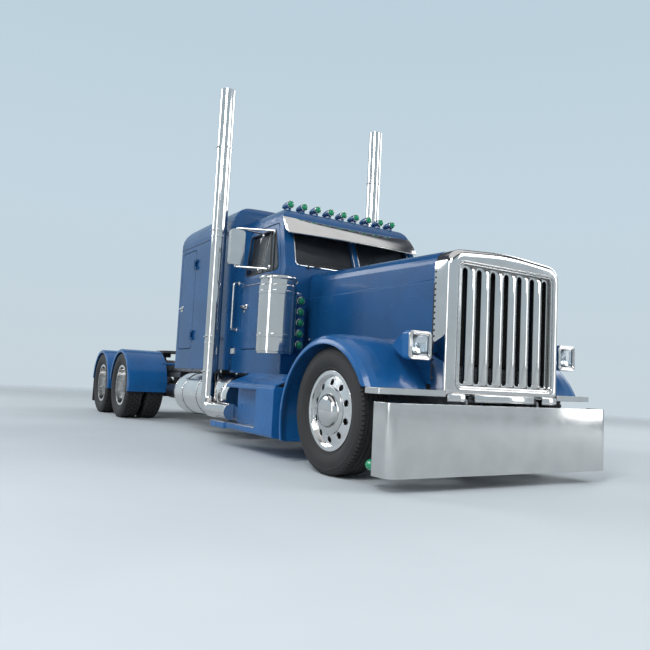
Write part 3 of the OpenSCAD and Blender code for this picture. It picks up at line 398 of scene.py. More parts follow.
def tread_columns():
    """Offsets across the tread with the rib of each, and whether it lies on top or on a groove's floor."""
    half = []
    for k, (near, far) in enumerate(RIBS):
        half += [(near, k, True), (far, k, True)]
        if k < len(RIBS) - 1:
            half += [(far + 2, k, False), (RIBS[k + 1][0] - 2, k, False)]
    return [(-w, k, top) for w, k, top in reversed(half[1:])] + half[1:]


def tyre(form, centre_y, axle_x, kind):
    """One tyre with its ribs, grooves and cuts, about an axle along Y."""
    rings = []
    for pitch in range(PITCHES[kind]):
        for share in STATIONS:
            ring = [(radius, -width) for radius, width in SIDEWALL]
            for offset, rib, top in tread_columns():
                if kind == "drive":
                    cut = share in (FIRST_CUT if rib == 1 else SECOND_CUT)
                else:
                    cut = rib == 2 and share in FIRST_CUT + SECOND_CUT and abs(offset) > 100
                depth = 0.0 if top and not cut else GROOVE
                ring.append((TYRE_R - depth - TREAD_FALL * (offset / TREAD_HALF) ** 2, offset))
            ring += [(radius, width) for radius, width in reversed(SIDEWALL)]
            angle = tau * (pitch + share) / PITCHES[kind]
            rings.append([(axle_x + r * cos(angle), centre_y + w, TYRE_R + r * sin(angle))
                          for r, w in ring])
    form.skin(rings, loop=True)


FRONT_Y = 1030.0
TWIN_Y = 915.0
TWIN_OFFSET = 170.0
DRIVE_X = {"1": -6520.0, "2": -7840.0}

for side, sign in SIDES.items():
    rubber = Form()
    tyre(rubber, sign * FRONT_Y, 0.0, "steer")
    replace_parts(rubber.done("steer_tyre_" + side, "tyre", "front_wheel_" + side, 30), "front_tyre_" + side)
    for axle, x in DRIVE_X.items():
        rubber = Form()
        for offset in (-TWIN_OFFSET, TWIN_OFFSET):
            tyre(rubber, sign * TWIN_Y + offset, x, "drive")
        piece = rubber.done("drive_tyres_%s_%s" % (axle, side), "tyre", "drive_wheels_%s_%s" % (axle, side), 30)
        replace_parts(piece, "twin_tyres_%s_%s" % (axle, side))


# Wheels: hub covers, valves, drums behind the hand holes, nuts. Profiles are (radius, distance outwards).

HUB_COVER = [(200, 94), (204, 100), (199, 108), (188, 111), (143, 113), (139, 119), (137, 132), (124, 149),
             (98, 160), (60, 166), (20, 168), (0, 168)]
VALVE = [(70, 292), (100, 284), (116, 268)]
DRUM = [(217, 30), (297, 30), (298, 34), (297, 38), (217, 38)]
WHEEL_NUT = [(21, 0), (21, 4), (16, 6), (16, 34), (12, 42), (0, 45)]
HUB_RING = [(110, 0), (116, 3), (116, 9), (110, 12), (104, 6)]
NUT_CIRCLE, BOLT_CIRCLE = 175.0, 92.0


def bolt_circle(x, y, radius, count, shift):
    """Places round a wheel's axle; shift is a share of the step between them."""
    angles = [tau * (k + shift) / count for k in range(count)]
    return [(x + radius * cos(a), y, TYRE_R + radius * sin(a)) for a in angles]


for side, sign in SIDES.items():
    out = (0, sign, 0)
    hub = (0, sign * FRONT_Y, TYRE_R)
    trim = Form()
    trim.lathe(HUB_COVER, hub, out, 64)
    trim.tube(bent([(0, sign * (FRONT_Y + along), TYRE_R + radius) for along, radius in VALVE], 8), 4)
    trim.done("steer_wheel_trim_" + side, "chrome", "front_wheel_" + side)
    drum = Form()
    drum.lathe(DRUM, hub, out, 64, True)
    drum.done("brake_drum_face_" + side, "running_gear", "front_wheel_" + side)
    for axle, x in DRIVE_X.items():
        trim = Form()
        for spot in bolt_circle(x, sign * (TWIN_Y + 13), NUT_CIRCLE, 10, 0.5):
            trim.lathe(WHEEL_NUT, spot, out, 12)
        trim.lathe(HUB_RING, (x, sign * (TWIN_Y + 108), TYRE_R), out, 48, True)
        for spot in bolt_circle(x, sign * (TWIN_Y + 128), BOLT_CIRCLE, 8, 0.0):
            trim.nut(spot, out, 9, 9)
        trim.done("drive_wheel_trim_%s_%s" % (axle, side), "chrome", "drive_wheels_%s_%s" % (axle, side))


# Nose: grille surround with a rolled front edge and a low apron, bars, screen, rivets, headlamps

GRILLE_LOW, GRILLE_HIGH = box_mm("grille_bars")
GRILLE_LIP = 22.0
OPEN_HALF = GRILLE_HIGH.y - GRILLE_LIP
OPEN_LOW = GRILLE_LOW.z + GRILLE_LIP
OPEN_HIGH = GRILLE_HIGH.z - GRILLE_LIP
HOOD_SEAM, GRILLE_FACE = (corner.x for corner in box_mm("grille_shell"))
HOOD_HALF = 640.0
SHELL = {"half": HOOD_HALF, "low": 708.0, "top": 1870.0, "crown": 45.0, "corner": 140.0, "edge": 54.0, "wall": 36.0}
SHELL_MIDDLE = Vector((0.0, 1290.0))
SHELL_POINTS = 192
OPENING_BACK = 29.0    # depth of the opening's wall
APRON_SPANS = ((-622, -440), (-340, 340), (440, 622))    # clear of the frame's hinge ears
HINGE = Vector((845.0, 368.0, 678.0))


def around(outline, x):
    """An outline's points at even angles round the shell's middle."""
    ring = []
    edges = list(zip(outline, outline[1:] + outline[:1]))
    for k in range(SHELL_POINTS):
        turn = tau * (k + 0.5) / SHELL_POINTS
        way = Vector((cos(turn), sin(turn)))
        best = 0.0
        for p, q in edges:
            along = q - p
            start = p - SHELL_MIDDLE
            cross = way.x * along.y - way.y * along.x
            if abs(cross) < 1e-9:
                continue
            reach = (start.x * along.y - start.y * along.x) / cross
            share = (start.x * way.y - start.y * way.x) / cross
            if 0 <= share <= 1:
                best = max(best, reach)
        spot = SHELL_MIDDLE + way * best
        ring.append((x, spot.x, spot.y))
    return ring


def shell_ring(inset, x):
    half, low, top = SHELL["half"] - inset, SHELL["low"] + inset, SHELL["top"] - inset
    bend = max(SHELL["corner"] - inset, 20.0)
    return around(rounded([(-half, low), (half, low), (half, top), (0, top + SHELL["crown"]), (-half, top)],
                          [18.0, 18.0, bend, 3000.0, bend], 8), x)


def opening(grow, radius):
    """The grille opening's outline, grown or shrunk."""
    return rectangle((-OPEN_HALF - grow, OPEN_LOW - grow), (OPEN_HALF + grow, OPEN_HIGH + grow), radius)


shell = Form()
rings = [shell_ring(0, HOOD_SEAM)]
for k in range(9):
    turn = pi / 2 * k / 8
    rings.append(shell_ring(SHELL["edge"] * (1 - cos(turn)), GRILLE_FACE - SHELL["edge"] * (1 - sin(turn))))
for grow, back in ((8, 0), (3, 2), (0, 8), (0, OPENING_BACK)):
    rings.append(around(opening(grow, 50 + grow), GRILLE_FACE - back))
for x in (GRILLE_FACE - OPENING_BACK, HOOD_SEAM):
    rings.append(shell_ring(SHELL["wall"], x))
shell.skin(rings, loop=True)
for low, high in APRON_SPANS:
    shell.block((872, low, 668), (888, high, 730), 6)
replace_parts(shell.done("grille_surround", "chrome", "hood"), "grille_shell")

eyes = Form()
for sign in SIGNS:
    y = sign * HINGE.y
    eyes.lathe([(12.2, -20), (22, -20), (22, 20), (12.2, 20)], (HINGE.x, y, HINGE.z), LEFT, 32, True)
    eyes.block((HINGE.x - 19, y - 19, HINGE.z + 18), (HINGE.x + 19, y + 19, HINGE.z + 36), 3)
eyes.done("hood_hinge_eyes", "running_gear", "hood")

beads = Form()
for grow, x, radius in ((10, GRILLE_FACE + 1, 6), (-9, GRILLE_FACE - 8, 7)):
    beads.tube([(x, *p) for p in opening(grow, 48 + grow * 0.6)], radius, 8, True)
beads.done("grille_beads", "chrome", "hood")

# Rounded faces on the bars between the slots
SLOTS_ACROSS = 7
SLOT_PITCH = 2 * OPEN_HALF / SLOTS_ACROSS
BAR_HALF = SLOT_PITCH / 2 - 30
BAR_SWELL = 18.0
BAR_ENDS = ((22, 0.1), (34, 0.6), (60, 1.0))             # distance from the opening's end, share of the swell
bars = Form()
for k in range(SLOTS_ACROSS - 1):
    middle = (k - SLOTS_ACROSS / 2 + 1) * SLOT_PITCH
    rows = []
    for z, swell in ([(OPEN_LOW + d, s) for d, s in BAR_ENDS] + [(OPEN_HIGH - d, s) for d, s in reversed(BAR_ENDS)]):
        row = [(GRILLE_HIGH.x + BAR_SWELL * swell * (1 - (u / 6) ** 2), middle + BAR_HALF * u / 6, z)
               for u in range(-6, 7)]
        rows.append(row + [(GRILLE_HIGH.x - 2, middle + side * BAR_HALF, z) for side in (1, -1)])
    bars.skin(rows)
bars.done("bar_faces", "chrome", "hood", 50)

SCREEN_X = GRILLE_LOW.x - 14
screen = Form()
for k in range(33):
    y = (k / 32 - 0.5) * 2 * (OPEN_HALF - 10)
    screen.tube([(SCREEN_X, y, OPEN_LOW), (SCREEN_X, y, OPEN_HIGH)], 2.0, 4)
for k in range(31):
    z = OPEN_LOW + (OPEN_HIGH - OPEN_LOW) * k / 30
    screen.tube([(SCREEN_X - 4, -OPEN_HALF, z), (SCREEN_X - 4, OPEN_HALF, z)], 2.0, 4)
screen.tube([(SCREEN_X - 2, *p) for p in opening(8, 50)], 8, 6, True)
screen.done("grille_screen", "core_black", "hood")

rivets = Form()
seam = Form()
for sign in SIGNS:
    for k in range(19):
        spot = (HOOD_SEAM + 16, sign * (HOOD_HALF - 0.5), 850 + 47 * k)
        rivets.lathe([(9, 0), (8.5, 3), (5, 6), (0, 7)], spot, (0, sign, 0), 10)
    seam.tube([(HOOD_SEAM, sign * (HOOD_HALF + 1), z) for z in (830, 1600)], 4, 6)
rivets.done("seam_rivets", "gasket", "hood")
seam.done("seam_strip", "gasket", "hood")

LAMP = Vector((800.0, 845.0, 1090.0))
LAMP_HALF = 84.0
LAMP_CELLS = 14
BULB = [(16, 0), (16, 12), (11, 14), (11, 24), (5, 30), (0, 31)]


def lamp_grid(sign, depth):
    """A grid over a headlamp's opening; depth gives how far ahead of the lamp's place each (u, v) lies."""
    steps = [2 * k / LAMP_CELLS - 1 for k in range(LAMP_CELLS + 1)]
    rows = []
    for v in steps:
        pulls = [(u, LAMP_HALF * (1 - 0.05 * u * u * v * v)) for u in steps]
        rows.append([(LAMP.x + depth(u, v), sign * LAMP.y + u * pull, LAMP.z + v * pull) for u, pull in pulls])
    return rows


bezels = Form()
lenses = Form()
bowls = Form()
for sign in SIGNS:
    for half, radius, x, thick in ((104, 30, 803, 9), (94, 26, 807, 6), (84, 22, 803, 5)):
        ring = rectangle((-half, -half), (half, half), radius)
        bezels.tube([(x, sign * LAMP.y + p[0], LAMP.z + p[1]) for p in ring], thick, 8, True)
    lenses.skin(lamp_grid(sign, lambda u, v: 9 * (1 - u * u) * (1 - v * v) - 4), sheet=True)
    bowls.skin(lamp_grid(sign, lambda u, v: 11 * (u * u + v * v) - 37), sheet=True)
    bowls.lathe(BULB, (LAMP.x - 39, sign * LAMP.y, LAMP.z), AHEAD, 20)
bezels.done("headlamp_bezels", "chrome", "hood")
bowls.done("headlamp_bowls", "mirror_glass", "hood", 60)
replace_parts(lenses.done("headlamp_glass", "clear_lens", "hood", 60), "headlamp_lenses")

ARCH = (-20.0, 410.0)
ARCH_R = 688.0
ARCH_TURNS = (-2, 196)
BEAD_START = 760.0     # the bead begins above the fender's front strip
beads = Form()
latches = Form()
for sign in SIGNS:
    turns = [radians(ARCH_TURNS[0] + (ARCH_TURNS[1] - ARCH_TURNS[0]) * k / 60) for k in range(61)]
    ring = [(ARCH[0] + ARCH_R * cos(a), sign * 1216, ARCH[1] + ARCH_R * sin(a)) for a in turns]
    start = next(k for k, p in enumerate(ring) if p[2] > BEAD_START)
    beads.tube(ring[start:], 8, 8)
    y = sign * (HOOD_HALF + 4)
    latches.block((-1270, y, 1180), (-1215, y + sign * 14, 1215), 3)
    latches.bow((-1262, y, 1198), (-1215, y, 1198), (0, sign * 24, 0), 8, 5)
# The beads take the lighter fender blue, which is partly painted highlight
beads.done("fender_beads", "fender_paint", "hood")
latches.done("hood_latches", "chrome", "hood")


# Cab front: gaskets, wipers, visor

def screen_x(z):
    """The leaning face of the windshield."""
    return -1330 - 0.40 * (z - 1960)


gaskets = Form()
wipers = Form()
for sign in SIGNS:
    pane = rounded([(34, 1985), (800, 1985), (760, 2440), (34, 2440)], 45)
    gaskets.tube([(screen_x(p[1]) + 3, sign * p[0], p[1]) for p in pane], 9, 8, True)
    root = Vector((screen_x(1968) + 22, sign * 660, 1968))
    tip = Vector((screen_x(2014) + 26, sign * 400, 2014))
    wipers.lathe([(14, 0), (14, 18), (8, 24)], root - Vector((14, 0, 0)), (1, 0, 0.4), 12)
    wipers.tube([root, root.lerp(tip, 0.5) + Vector((6, 0, 0)), tip], 5, 6)
    wipers.tube([(screen_x(z) + 14, sign * y, z) for y, z in ((640, 2006), (160, 2020))], 6, 6)
gaskets.done("windshield_gaskets", "pale_trim", "chassis")
wipers.done("wipers", "gasket", "chassis")

VISOR_HALF = 868.0
VISOR_LIP = 2330.0
VISOR_ROOT = 2540.0
VISOR_REACH = 188.0
VISOR_SWEEP = 115.0
VISOR_BELLY = 26.0


def visor_section(y, lift):
    """Across the visor at a distance from the middle: wall, belly and a lip that sweeps back towards the ends."""
    sweep = (y / VISOR_HALF) ** 2
    root = Vector((screen_x(VISOR_ROOT) + 2, y, VISOR_ROOT))
    edge = Vector((screen_x(VISOR_LIP) + VISOR_REACH - VISOR_SWEEP * sweep, y, VISOR_LIP + 14 * sweep))
    rise = Vector((0.6, 0, 0.8))
    belly = VISOR_BELLY * (1 - 0.5 * sweep)
    return [root.lerp(edge, k / 6) + rise * (lift + belly * sin(pi * k / 6)) for k in range(7)]


visor = Form()
stations = [(VISOR_HALF * k / 16) for k in range(-16, 17)]
visor.skin([visor_section(y, 0) + visor_section(y, -11)[::-1] for y in stations])
for sign in SIGNS:
    outline = [(p.x, p.z) for p in visor_section(sign * VISOR_HALF, -5)]
    outline.append((screen_x(VISOR_LIP + 70), VISOR_LIP + 70))
    visor.skin([[(x, sign * (VISOR_HALF - depth), z) for x, z in outline] for depth in (0, 9)])
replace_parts(visor.done("visor_sheet", "chrome", "chassis"), "sun_visor")

lip = Form()
lip.tube([visor_section(y, -6)[-1] for y in stations], 9, 8)
lip.done("visor_bead", "chrome", "chassis")


# Marker lamps: green on roof, cowl strips and bumper ends, pale at the cab's back corners

ROOF_LAMP = Vector((-1700.0, 710.0, 2725.0))
COWL_Z = (1130, 1243, 1356, 1469, 1582)
COWL_Y = 812.0
COWL_R = 38.0
STRIP_X = -1176.0
END_LAMP = Vector((752.0, 1176.0, 180.0))
ROOF_BEZEL = [(35, -2), (42, -2), (44, 4), (42, 9), (36, 7)]
ROOF_LENS = [(34, -3), (36, 4), (34, 14), (27, 23), (14, 29), (0, 31)]
COWL_BEZEL = [(COWL_R - 2, -2), (COWL_R + 7, -2), (COWL_R + 7, 6), (COWL_R + 2, 9), (COWL_R - 1, 6)]
COWL_LENS = [(COWL_R - 2, -2), (COWL_R - 1, 6), (32, 18), (20, 26), (0, 29)]
END_BEZEL = [(22, -52), (38, -44), (41, -4), (44, 0), (44, 6), (40, 9), (30, 8)]
END_LENS = [(38, 2), (42, 14), (43, 36), (43, 66), (37, 90), (24, 106), (8, 113), (0, 114)]
CAB_HALF = 930.0
lamp_rings = Form()
greens = Form()
strips = Form()
corner_lamps = Form()
corner_pads = Form()
for k in range(9):
    spot = (ROOF_LAMP.x, ROOF_LAMP.y * (k / 4 - 1), ROOF_LAMP.z)
    lamp_rings.lathe(ROOF_BEZEL, spot, AHEAD, 32, True)
    greens.lathe(ROOF_LENS, spot, AHEAD, 24)
for sign in SIGNS:
    strip = rectangle((COWL_Y - 50, COWL_Z[0] - 58), (COWL_Y + 50, COWL_Z[-1] + 58), 22)
    strips.plate(strip, on_front(STRIP_X, sign), 12, 3)
    for z in COWL_Z:
        spot = (STRIP_X + 12, sign * COWL_Y, z)
        lamp_rings.lathe(COWL_BEZEL, spot, AHEAD, 32, True)
        greens.lathe(COWL_LENS, spot, AHEAD, 24)
    spot = (END_LAMP.x, sign * END_LAMP.y, END_LAMP.z)
    lamp_rings.lathe(END_BEZEL, spot, BEHIND, 32)
    greens.lathe(END_LENS, spot, BEHIND, 32)
    y = sign * CAB_HALF
    corner_pads.block((-2585, y, 1035), (-2495, y + sign * 8, 1115), 3)
    corner_lamps.plate(rectangle((-2576, 1043), (-2504, 1107), 8), on_side(y + sign * 6, sign), 16, 5)
strips.done("lamp_strips", "blue_paint", "chassis")
lamp_rings.done("lamp_bezels", "chrome", "chassis")
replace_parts(greens.done("green_lenses", "green_lens", "chassis", 60), "marker_lenses")
corner_pads.done("corner_lamp_pads", "chrome", "chassis")
corner_lamps.done("corner_lamps", "pale_lens", "chassis")


# Doors, mirrors and grab handles

MIRROR = Vector((-2000.0, 1200.0, 2210.0))
SLEEPER_HALF = 1000.0


def cab_side_y(z):
    """The cab's side, upright to the belt and leaning in above it."""
    return CAB_HALF - max(0.0, z - 1900) * 80 / 775


for side, sign in SIDES.items():
    body = "cab_door_" + side
    out = (0, sign, 0)
    seal = Form()
    pane = rounded([(-1490, 1945), (-1690, 2415), (-2310, 2415), (-2310, 1945)], 42)
    seal.tube([(p[0], sign * (cab_side_y(p[1]) + 1), p[1]) for p in pane], 8, 8, True)
    seal.tube([(x, sign * (cab_side_y(z) - 6), z) for x, z in ((-1700, 1950), (-1800, 2408))], 9, 8)
    seal.done("door_seal_" + side, "gasket", body)
    bright = Form()
    y = sign * CAB_HALF
    bright.block((-2350, y, 1560), (-2200, y + sign * 10, 1610), 4)
    bright.bow((-2340, y, 1590), (-2215, y, 1590), (0, sign * 42, 0), 16, 9)
    bright.lathe([(14, 0), (14, 8), (10, 11), (0, 11)], (-2275, y, 1530), out, 16)
    bright.tube([(-2368, y + sign * 4, 1830), (-1445, y + sign * 4, 1830)], 7, 6)
    bright.done("door_brightwork_" + side, "chrome", body)
    lining = Form()
    inner = sign * 866
    lining.plate(rectangle((-2330, 1170), (-1480, 1890), 60), on_side(inner, -sign), 20, 6)
    lining.block((-2250, inner, 1560), (-1800, inner - sign * 80, 1610), 18)
    lining.bow((-1760, inner, 1640), (-1620, inner, 1700), (0, -sign * 60, 0), 20, 11)
    lining.done("door_lining_" + side, "dash_plastic", body)
    glass_face = Form()
    head = rectangle((-78, -188), (78, 188), 34)
    glass_face.plate(head, lambda u, v, d: (MIRROR.x - 27 - d, sign * MIRROR.y + u, MIRROR.z + v), 5, 1.5)
    glass_face.done("mirror_glass_" + side, "mirror_glass", body)
    clamps = Form()
    for z in (2414, 2006):
        clamps.lathe([(16, -14), (16, 14), (12, 14), (12, -14)], (MIRROR.x, sign * MIRROR.y, z), UP, 16, True)
    for z in (2392, 1988):
        y = sign * (cab_side_y(z) - 2)
        clamps.lathe([(26, 0), (24, 6), (14, 10), (0, 11)], (-1722, y, z), out, 16)
        clamps.lathe([(24, 0), (22, 6), (12, 10), (0, 11)], (MIRROR.x, y, z), out, 16)
    clamps.done("mirror_clamps_" + side, "chrome", body)

    bay = "sleeper_door_" + side
    handle = Form()
    y = sign * SLEEPER_HALF
    handle.block((-4290, y, 1640), (-4200, y + sign * 8, 1720), 4)
    handle.bow((-4280, y, 1680), (-4210, y, 1680), (0, sign * 34, 0), 12, 8)
    handle.done("bay_handle_" + side, "chrome", bay)
    panel = Form()
    panel.plate(rectangle((-4270, 1190), (-3860, 2400), 50), on_side(sign * 936, -sign), 12, 4)
    panel.done("bay_lining_" + side, "dash_plastic", bay)

ROOF_SEAM = 2530.0
SEAM_PATH = [(-2640, -1001), (-4401, -1001), (-4401, 1001), (-2640, 1001)]
roof_seam = Form()
roof_seam.tube(bent([(x, y, ROOF_SEAM) for x, y in SEAM_PATH], 10), 4, 6)
roof_seam.done("sleeper_roof_seam", "gasket", "chassis")

GRAB_X = -2490.0
GRAB_Z = (1330.0, 1880.0)
grabs = Form()
for sign in SIGNS:
    feet = [(GRAB_X, sign * CAB_HALF, z) for z in GRAB_Z]
    grabs.bow(*feet, (0, sign * 62, 0), 26, 14, 12)
    for foot in feet:
        grabs.lathe([(30, 0), (28, 5), (18, 9), (0, 10)], foot, (0, sign, 0), 16)
grabs.done("grab_handles", "chrome", "chassis")


# Along the frame: stacks, tanks, steps, air cleaners

STACK_X = -2730.0
STACK_R = 90.0
STACK_Y = box_mm("exhaust_stacks")[1].y - STACK_R - 4
clamps = Form()
for sign in SIGNS:
    for z in (820, 1235, 2525, 3560):
        clamps.band(STACK_R, 5, 16, (STACK_X, sign * STACK_Y, z), UP, 48)
        y = sign * STACK_Y - STACK_R - 12
        clamps.tube([(STACK_X - 40, y, z), (STACK_X + 40, y, z)], 6, 6)
clamps.done("stack_clamps", "chrome", "chassis")

TANK = Vector((-2590.0, 753.0, 525.0))
TANK_R = 270.0
TANK_LEN = 1720.0
FILLER = [(52, -20), (52, 18), (46, 22), (46, 30), (62, 32), (64, 52), (58, 62), (20, 66), (0, 66)]
RIM = [(TANK_R, -5), (TANK_R + 4, 0), (TANK_R, 5), (TANK_R - 2, 0)]
fittings = Form()
for sign in SIGNS:
    neck = Vector((TANK.x - 420, sign * (TANK.y + 150), TANK.z + 214))
    fittings.lathe(FILLER, neck, (0, sign * 0.6, 1.0), 28)
    fittings.tube([neck + Vector((dx, sign * 28, 60)) for dx in (-40, 40)], 6, 8)
    for share in (0.2, 0.5, 0.8):
        x = TANK.x - TANK_LEN * share
        fittings.tube([(x + dx, sign * (TANK.y - 262), TANK.z + 96) for dx in (-16, 16)], 9, 8)
        fittings.nut((x, sign * (TANK.y + 266), TANK.z + 64), (0, sign, 0), 12, 12)
    for x in (TANK.x - 34, TANK.x - TANK_LEN + 34):
        fittings.lathe(RIM, (x, sign * TANK.y, TANK.z), AHEAD, 64, True)
fittings.done("tank_fittings", "polished_aluminium", "chassis")

LOZENGE_RISE = 2.5


def lozenges(form, low, high, z, pitch):
    """Raised treads in alternate directions over a flat plate."""
    for i in range(int((high[0] - low[0]) / pitch)):
        for j in range(int((high[1] - low[1]) / pitch)):
            middle = Vector((low[0] + pitch * (i + 0.5), low[1] + pitch * (j + 0.5), z))
            turn = radians(45 if (i + j) % 2 else -45)
            along = Vector((cos(turn), sin(turn), 0)) * pitch * 0.46
            across = Vector((-sin(turn), cos(turn), 0)) * pitch * 0.16
            base = [form.mesh.verts.new(middle + p) for p in (along, across, -along, -across)]
            peak = form.mesh.verts.new(middle + Vector((0, 0, LOZENGE_RISE)))
            for a, b in zip(base, base[1:] + base[:1]):
                form.mesh.faces.new((a, b, peak))
            form.mesh.faces.new(base[::-1])


BOX_BACK = -2050.0
BOX_Y = 1200.0
# Step plates: X range, inner and outer edge across, underside, edge left plain along and across, tread pitch
STEPS = [
    ((BOX_BACK - 390, BOX_BACK - 4), (BOX_Y - 250, BOX_Y + 5), 271.0, (6, 6), 32),
    ((BOX_BACK + 70, -1295.0), (BOX_Y - 148, BOX_Y - 4), 275.0, (6, 4), 28),
]
PLATE = 4.0
FAIRING = [(1192, 694), (1176, 712), (1110, 742), (1020, 774), (950, 806), (930, 826)]
treads = Form()
kicks = Form()
fairing = Form()
for sign in SIGNS:
    for xs, ys, z, plain, pitch in STEPS:
        ys = sorted(sign * y for y in ys)
        treads.block((xs[0], ys[0], z), (xs[1], ys[1], z + PLATE), 1.5)
        lozenges(treads, (xs[0] + plain[0], ys[0] + plain[1]), (xs[1] - plain[0], ys[1] - plain[1]), z + PLATE, pitch)
    face = sign * (BOX_Y - 150)
    kicks.plate(rectangle((BOX_BACK + 80, 310), (-1310, 640), 26), on_side(face, sign), 6, 2)
    for x in (BOX_BACK + 120, -1350):
        kicks.nut((x, face + sign * 6, 475), (0, sign, 0), 10, 8)
    section = FAIRING + [(y - 9, z - 9) for y, z in reversed(FAIRING)]
    fairing.skin([[(x, sign * y, z) for y, z in section] for x in (-2044, -2040, -915, -911)])
    fairing.plate(rectangle((648, 816), (928, 1040), 14), on_front(-1336, sign), 10, 3)
treads.done("step_treads", "tread_plate", "chassis")
# Kick plates and fairings take the lighter fender blue, which is partly painted highlight
kicks.done("kick_plates", "fender_paint", "chassis")
fairing.done("box_fairings", "fender_paint", "chassis")

DECK_LOW, DECK_HIGH = box_mm("deck_plate")
deck = Form()
lozenges(deck, (DECK_LOW.x + 20, DECK_LOW.y + 20), (DECK_HIGH.x - 20, DECK_HIGH.y - 20), DECK_HIGH.z - 0.2, 40)
for x in (DECK_LOW.x + 30, DECK_HIGH.x - 30):
    for y in (-390, 390):
        deck.nut((x, y, DECK_HIGH.z), UP, 14, 12)
deck.done("deck_treads", "tread_plate", "chassis")

CANISTER = Vector((-1170.0, 1080.0, 1020.0))
CANISTER_R = 190.0
CANISTER_TOP = CANISTER.z + 790
bands = Form()
for sign in SIGNS:
    y = sign * CANISTER.y
    for z in (180, 610):
        bands.band(CANISTER_R, 4, 18, (CANISTER.x, y, CANISTER.z + z), UP, 56)
    bands.lathe([(24, -2), (24, 6), (12, 8), (12, 16), (0, 18)], (CANISTER.x, y, CANISTER_TOP), UP, 16)
    bands.tube([(CANISTER.x + dx, y, CANISTER_TOP + 12) for dx in (-26, 26)], 6, 8)
    for turn in (60, 180, 300):
        way = Vector((cos(radians(turn)), sin(radians(turn)), 0))
        spot = Vector((CANISTER.x, y, CANISTER.z + 716)) + way * (CANISTER_R - 2)
        bands.tube([spot, spot + way * 6 + Vector((0, 0, 20)), spot + Vector((0, 0, 44))], 6, 8)
bands.done("canister_bands", "chrome", "chassis")


# Frame, coupling and tail

RAIL_Y = 432.0
RAIL_Z = 710.0
bolts = Form()
for sign in SIGNS:
    for x in (560, -2300, -3300, -4300, -5200, -6000, -7180, -8300):
        for dz in (145, 185, 225):
            for dx in (-24, 24):
                bolts.nut((x + dx, sign * RAIL_Y, RAIL_Z + dz), (0, sign, 0), 12, 10)
    for x in (-2100, -2700, -4500, -5000, -5600, -6700, -7400, -8050):
        for dz in (40, 240):
            bolts.nut((x, sign * RAIL_Y, RAIL_Z + dz), (0, sign, 0), 11, 9)
bolts.done("frame_bolts", "frame_paint", "chassis")

LINE_SAG = ((-4600, 0), (-5300, 6), (-6000, 0), (-6700, 6), (-7300, 0))
lines = Form()
for sign, z in ((1, 800), (1, 830), (-1, 815)):
    lines.tube([(x, sign * (RAIL_Y + 14), z - sag) for x, sag in LINE_SAG], 8, 8)
lines.done("air_lines", "gasket", "chassis")

FIFTH_X = -6930.0
FIFTH_TOP = 1165.0
LEVER = [(-60, 250), (-60, 470), (-60, 520), (-20, 520), (-20, 480)]
lever = Form()
lever.tube(bent([(FIFTH_X + x, y, FIFTH_TOP - 70) for x, y in LEVER], 14), 9, 10)
for sign in SIGNS:
    for x in (110, 0, -110):
        lever.lathe([(14, 0), (12, 2), (0, 3)], (FIFTH_X + x, sign * 330, FIFTH_TOP - 0.5), UP, 12)
lever.done("coupling_lever", "coupling_steel", "fifth_wheel")

BAR_X = box_mm("rear_bar")[0].x
BAR_Z = 800.0
FLAP_Y = 900.0
tail = Form()
for sign in SIGNS:
    for y in (620, 780, 940, 1100):
        tail.lathe([(41, -2), (50, -2), (51, 5), (47, 10), (41, 8)], (BAR_X, sign * y, BAR_Z), BEHIND, 32, True)
    tail.block((BAR_X + 8, sign * FLAP_Y - 250, 176), (BAR_X + 14, sign * FLAP_Y + 250, 236), 2.5)
    for y in (700, 900, 1100):
        tail.nut((BAR_X + 4, sign * y, 748), BEHIND, 8, 7)
tail.done("tail_brightwork", "chrome", "chassis")

plate = Form()
plate.plate(rectangle((-155, -78), (155, 78), 12), lambda u, v, d: (BAR_X - d + 1, u, BAR_Z + v * 0.8), 6, 2)
plate.done("blank_plate", "pale_trim", "chassis")


# Engine bay, seen with the hood tilted and from below

INTAKE = [(-950, -330, 1380), (-950, -420, 1440), (-200, -420, 1470), (120, -380, 1470), (120, -300, 1400)]
TURBO = [(0, 0), (110, 10), (130, 50), (130, 120), (80, 150), (60, 190), (0, 192)]
engine = Form()
for x in range(-900, 250, 190):
    engine.block((x, -150, 1545), (x + 170, 150, 1610), 18)
    for y in (-120, 120):
        engine.nut((x + 85, y, 1608), UP, 14, 12)
engine.tube(bent(INTAKE, 60), 46, 16)
engine.lathe(TURBO, (-250, 300, 1330), LEFT, 28)
engine.lathe([(95, 0), (95, 110), (70, 125), (0, 125)], (180, 300, 900), AHEAD, 24)
engine.done("engine_dress", "engine_paint", "chassis")

FAN_Z = 1300.0
BLADES = 9
BLADE = [(80, -45), (400, -75), (400, 75), (80, 45)]      # (out from the hub, across)
BLADE_PITCH = 0.45
FAN_SHROUD = [(430, 0), (446, 0), (446, 90), (500, 130), (494, 134), (430, 94)]
fan = Form()
fan.lathe([(90, 0), (90, 40), (60, 60), (0, 62)], (400, 0, FAN_Z), AHEAD, 24)
for k in range(BLADES):
    spin = Matrix.Rotation(tau * k / BLADES, 3, "X")
    fan.skin([[Vector((430, 0, FAN_Z)) + spin @ Vector((thick + z * BLADE_PITCH, y, z)) for y, z in BLADE]
              for thick in (-3, 3)])
fan.lathe(FAN_SHROUD, (410, 0, FAN_Z), AHEAD, 48, True)
fan.done("cooling_fan", "core_black", "chassis")

# Hoses: path, bend, radius, points round
HOSES = [
    ([(300, -160, 1560), (420, -200, 1690), (570, -250, 1690)], 70, 36, 14),
    ([(300, 180, 900), (450, 260, 1000), (570, 300, 1030)], 60, 34, 14),
    ([(-900, 420, 1340), (-1040, 470, 1370), (-1290, 500, 1400)], 80, 52, 16),
    ([(-900, -420, 1440), (-1040, -470, 1420), (-1290, -500, 1400)], 80, 52, 16),
]
hoses = Form()
for path, bend, radius, steps in HOSES:
    hoses.tube(bent(path, bend), radius, steps)
hoses.done("engine_hoses", "gasket", "chassis")


# Inside the cab

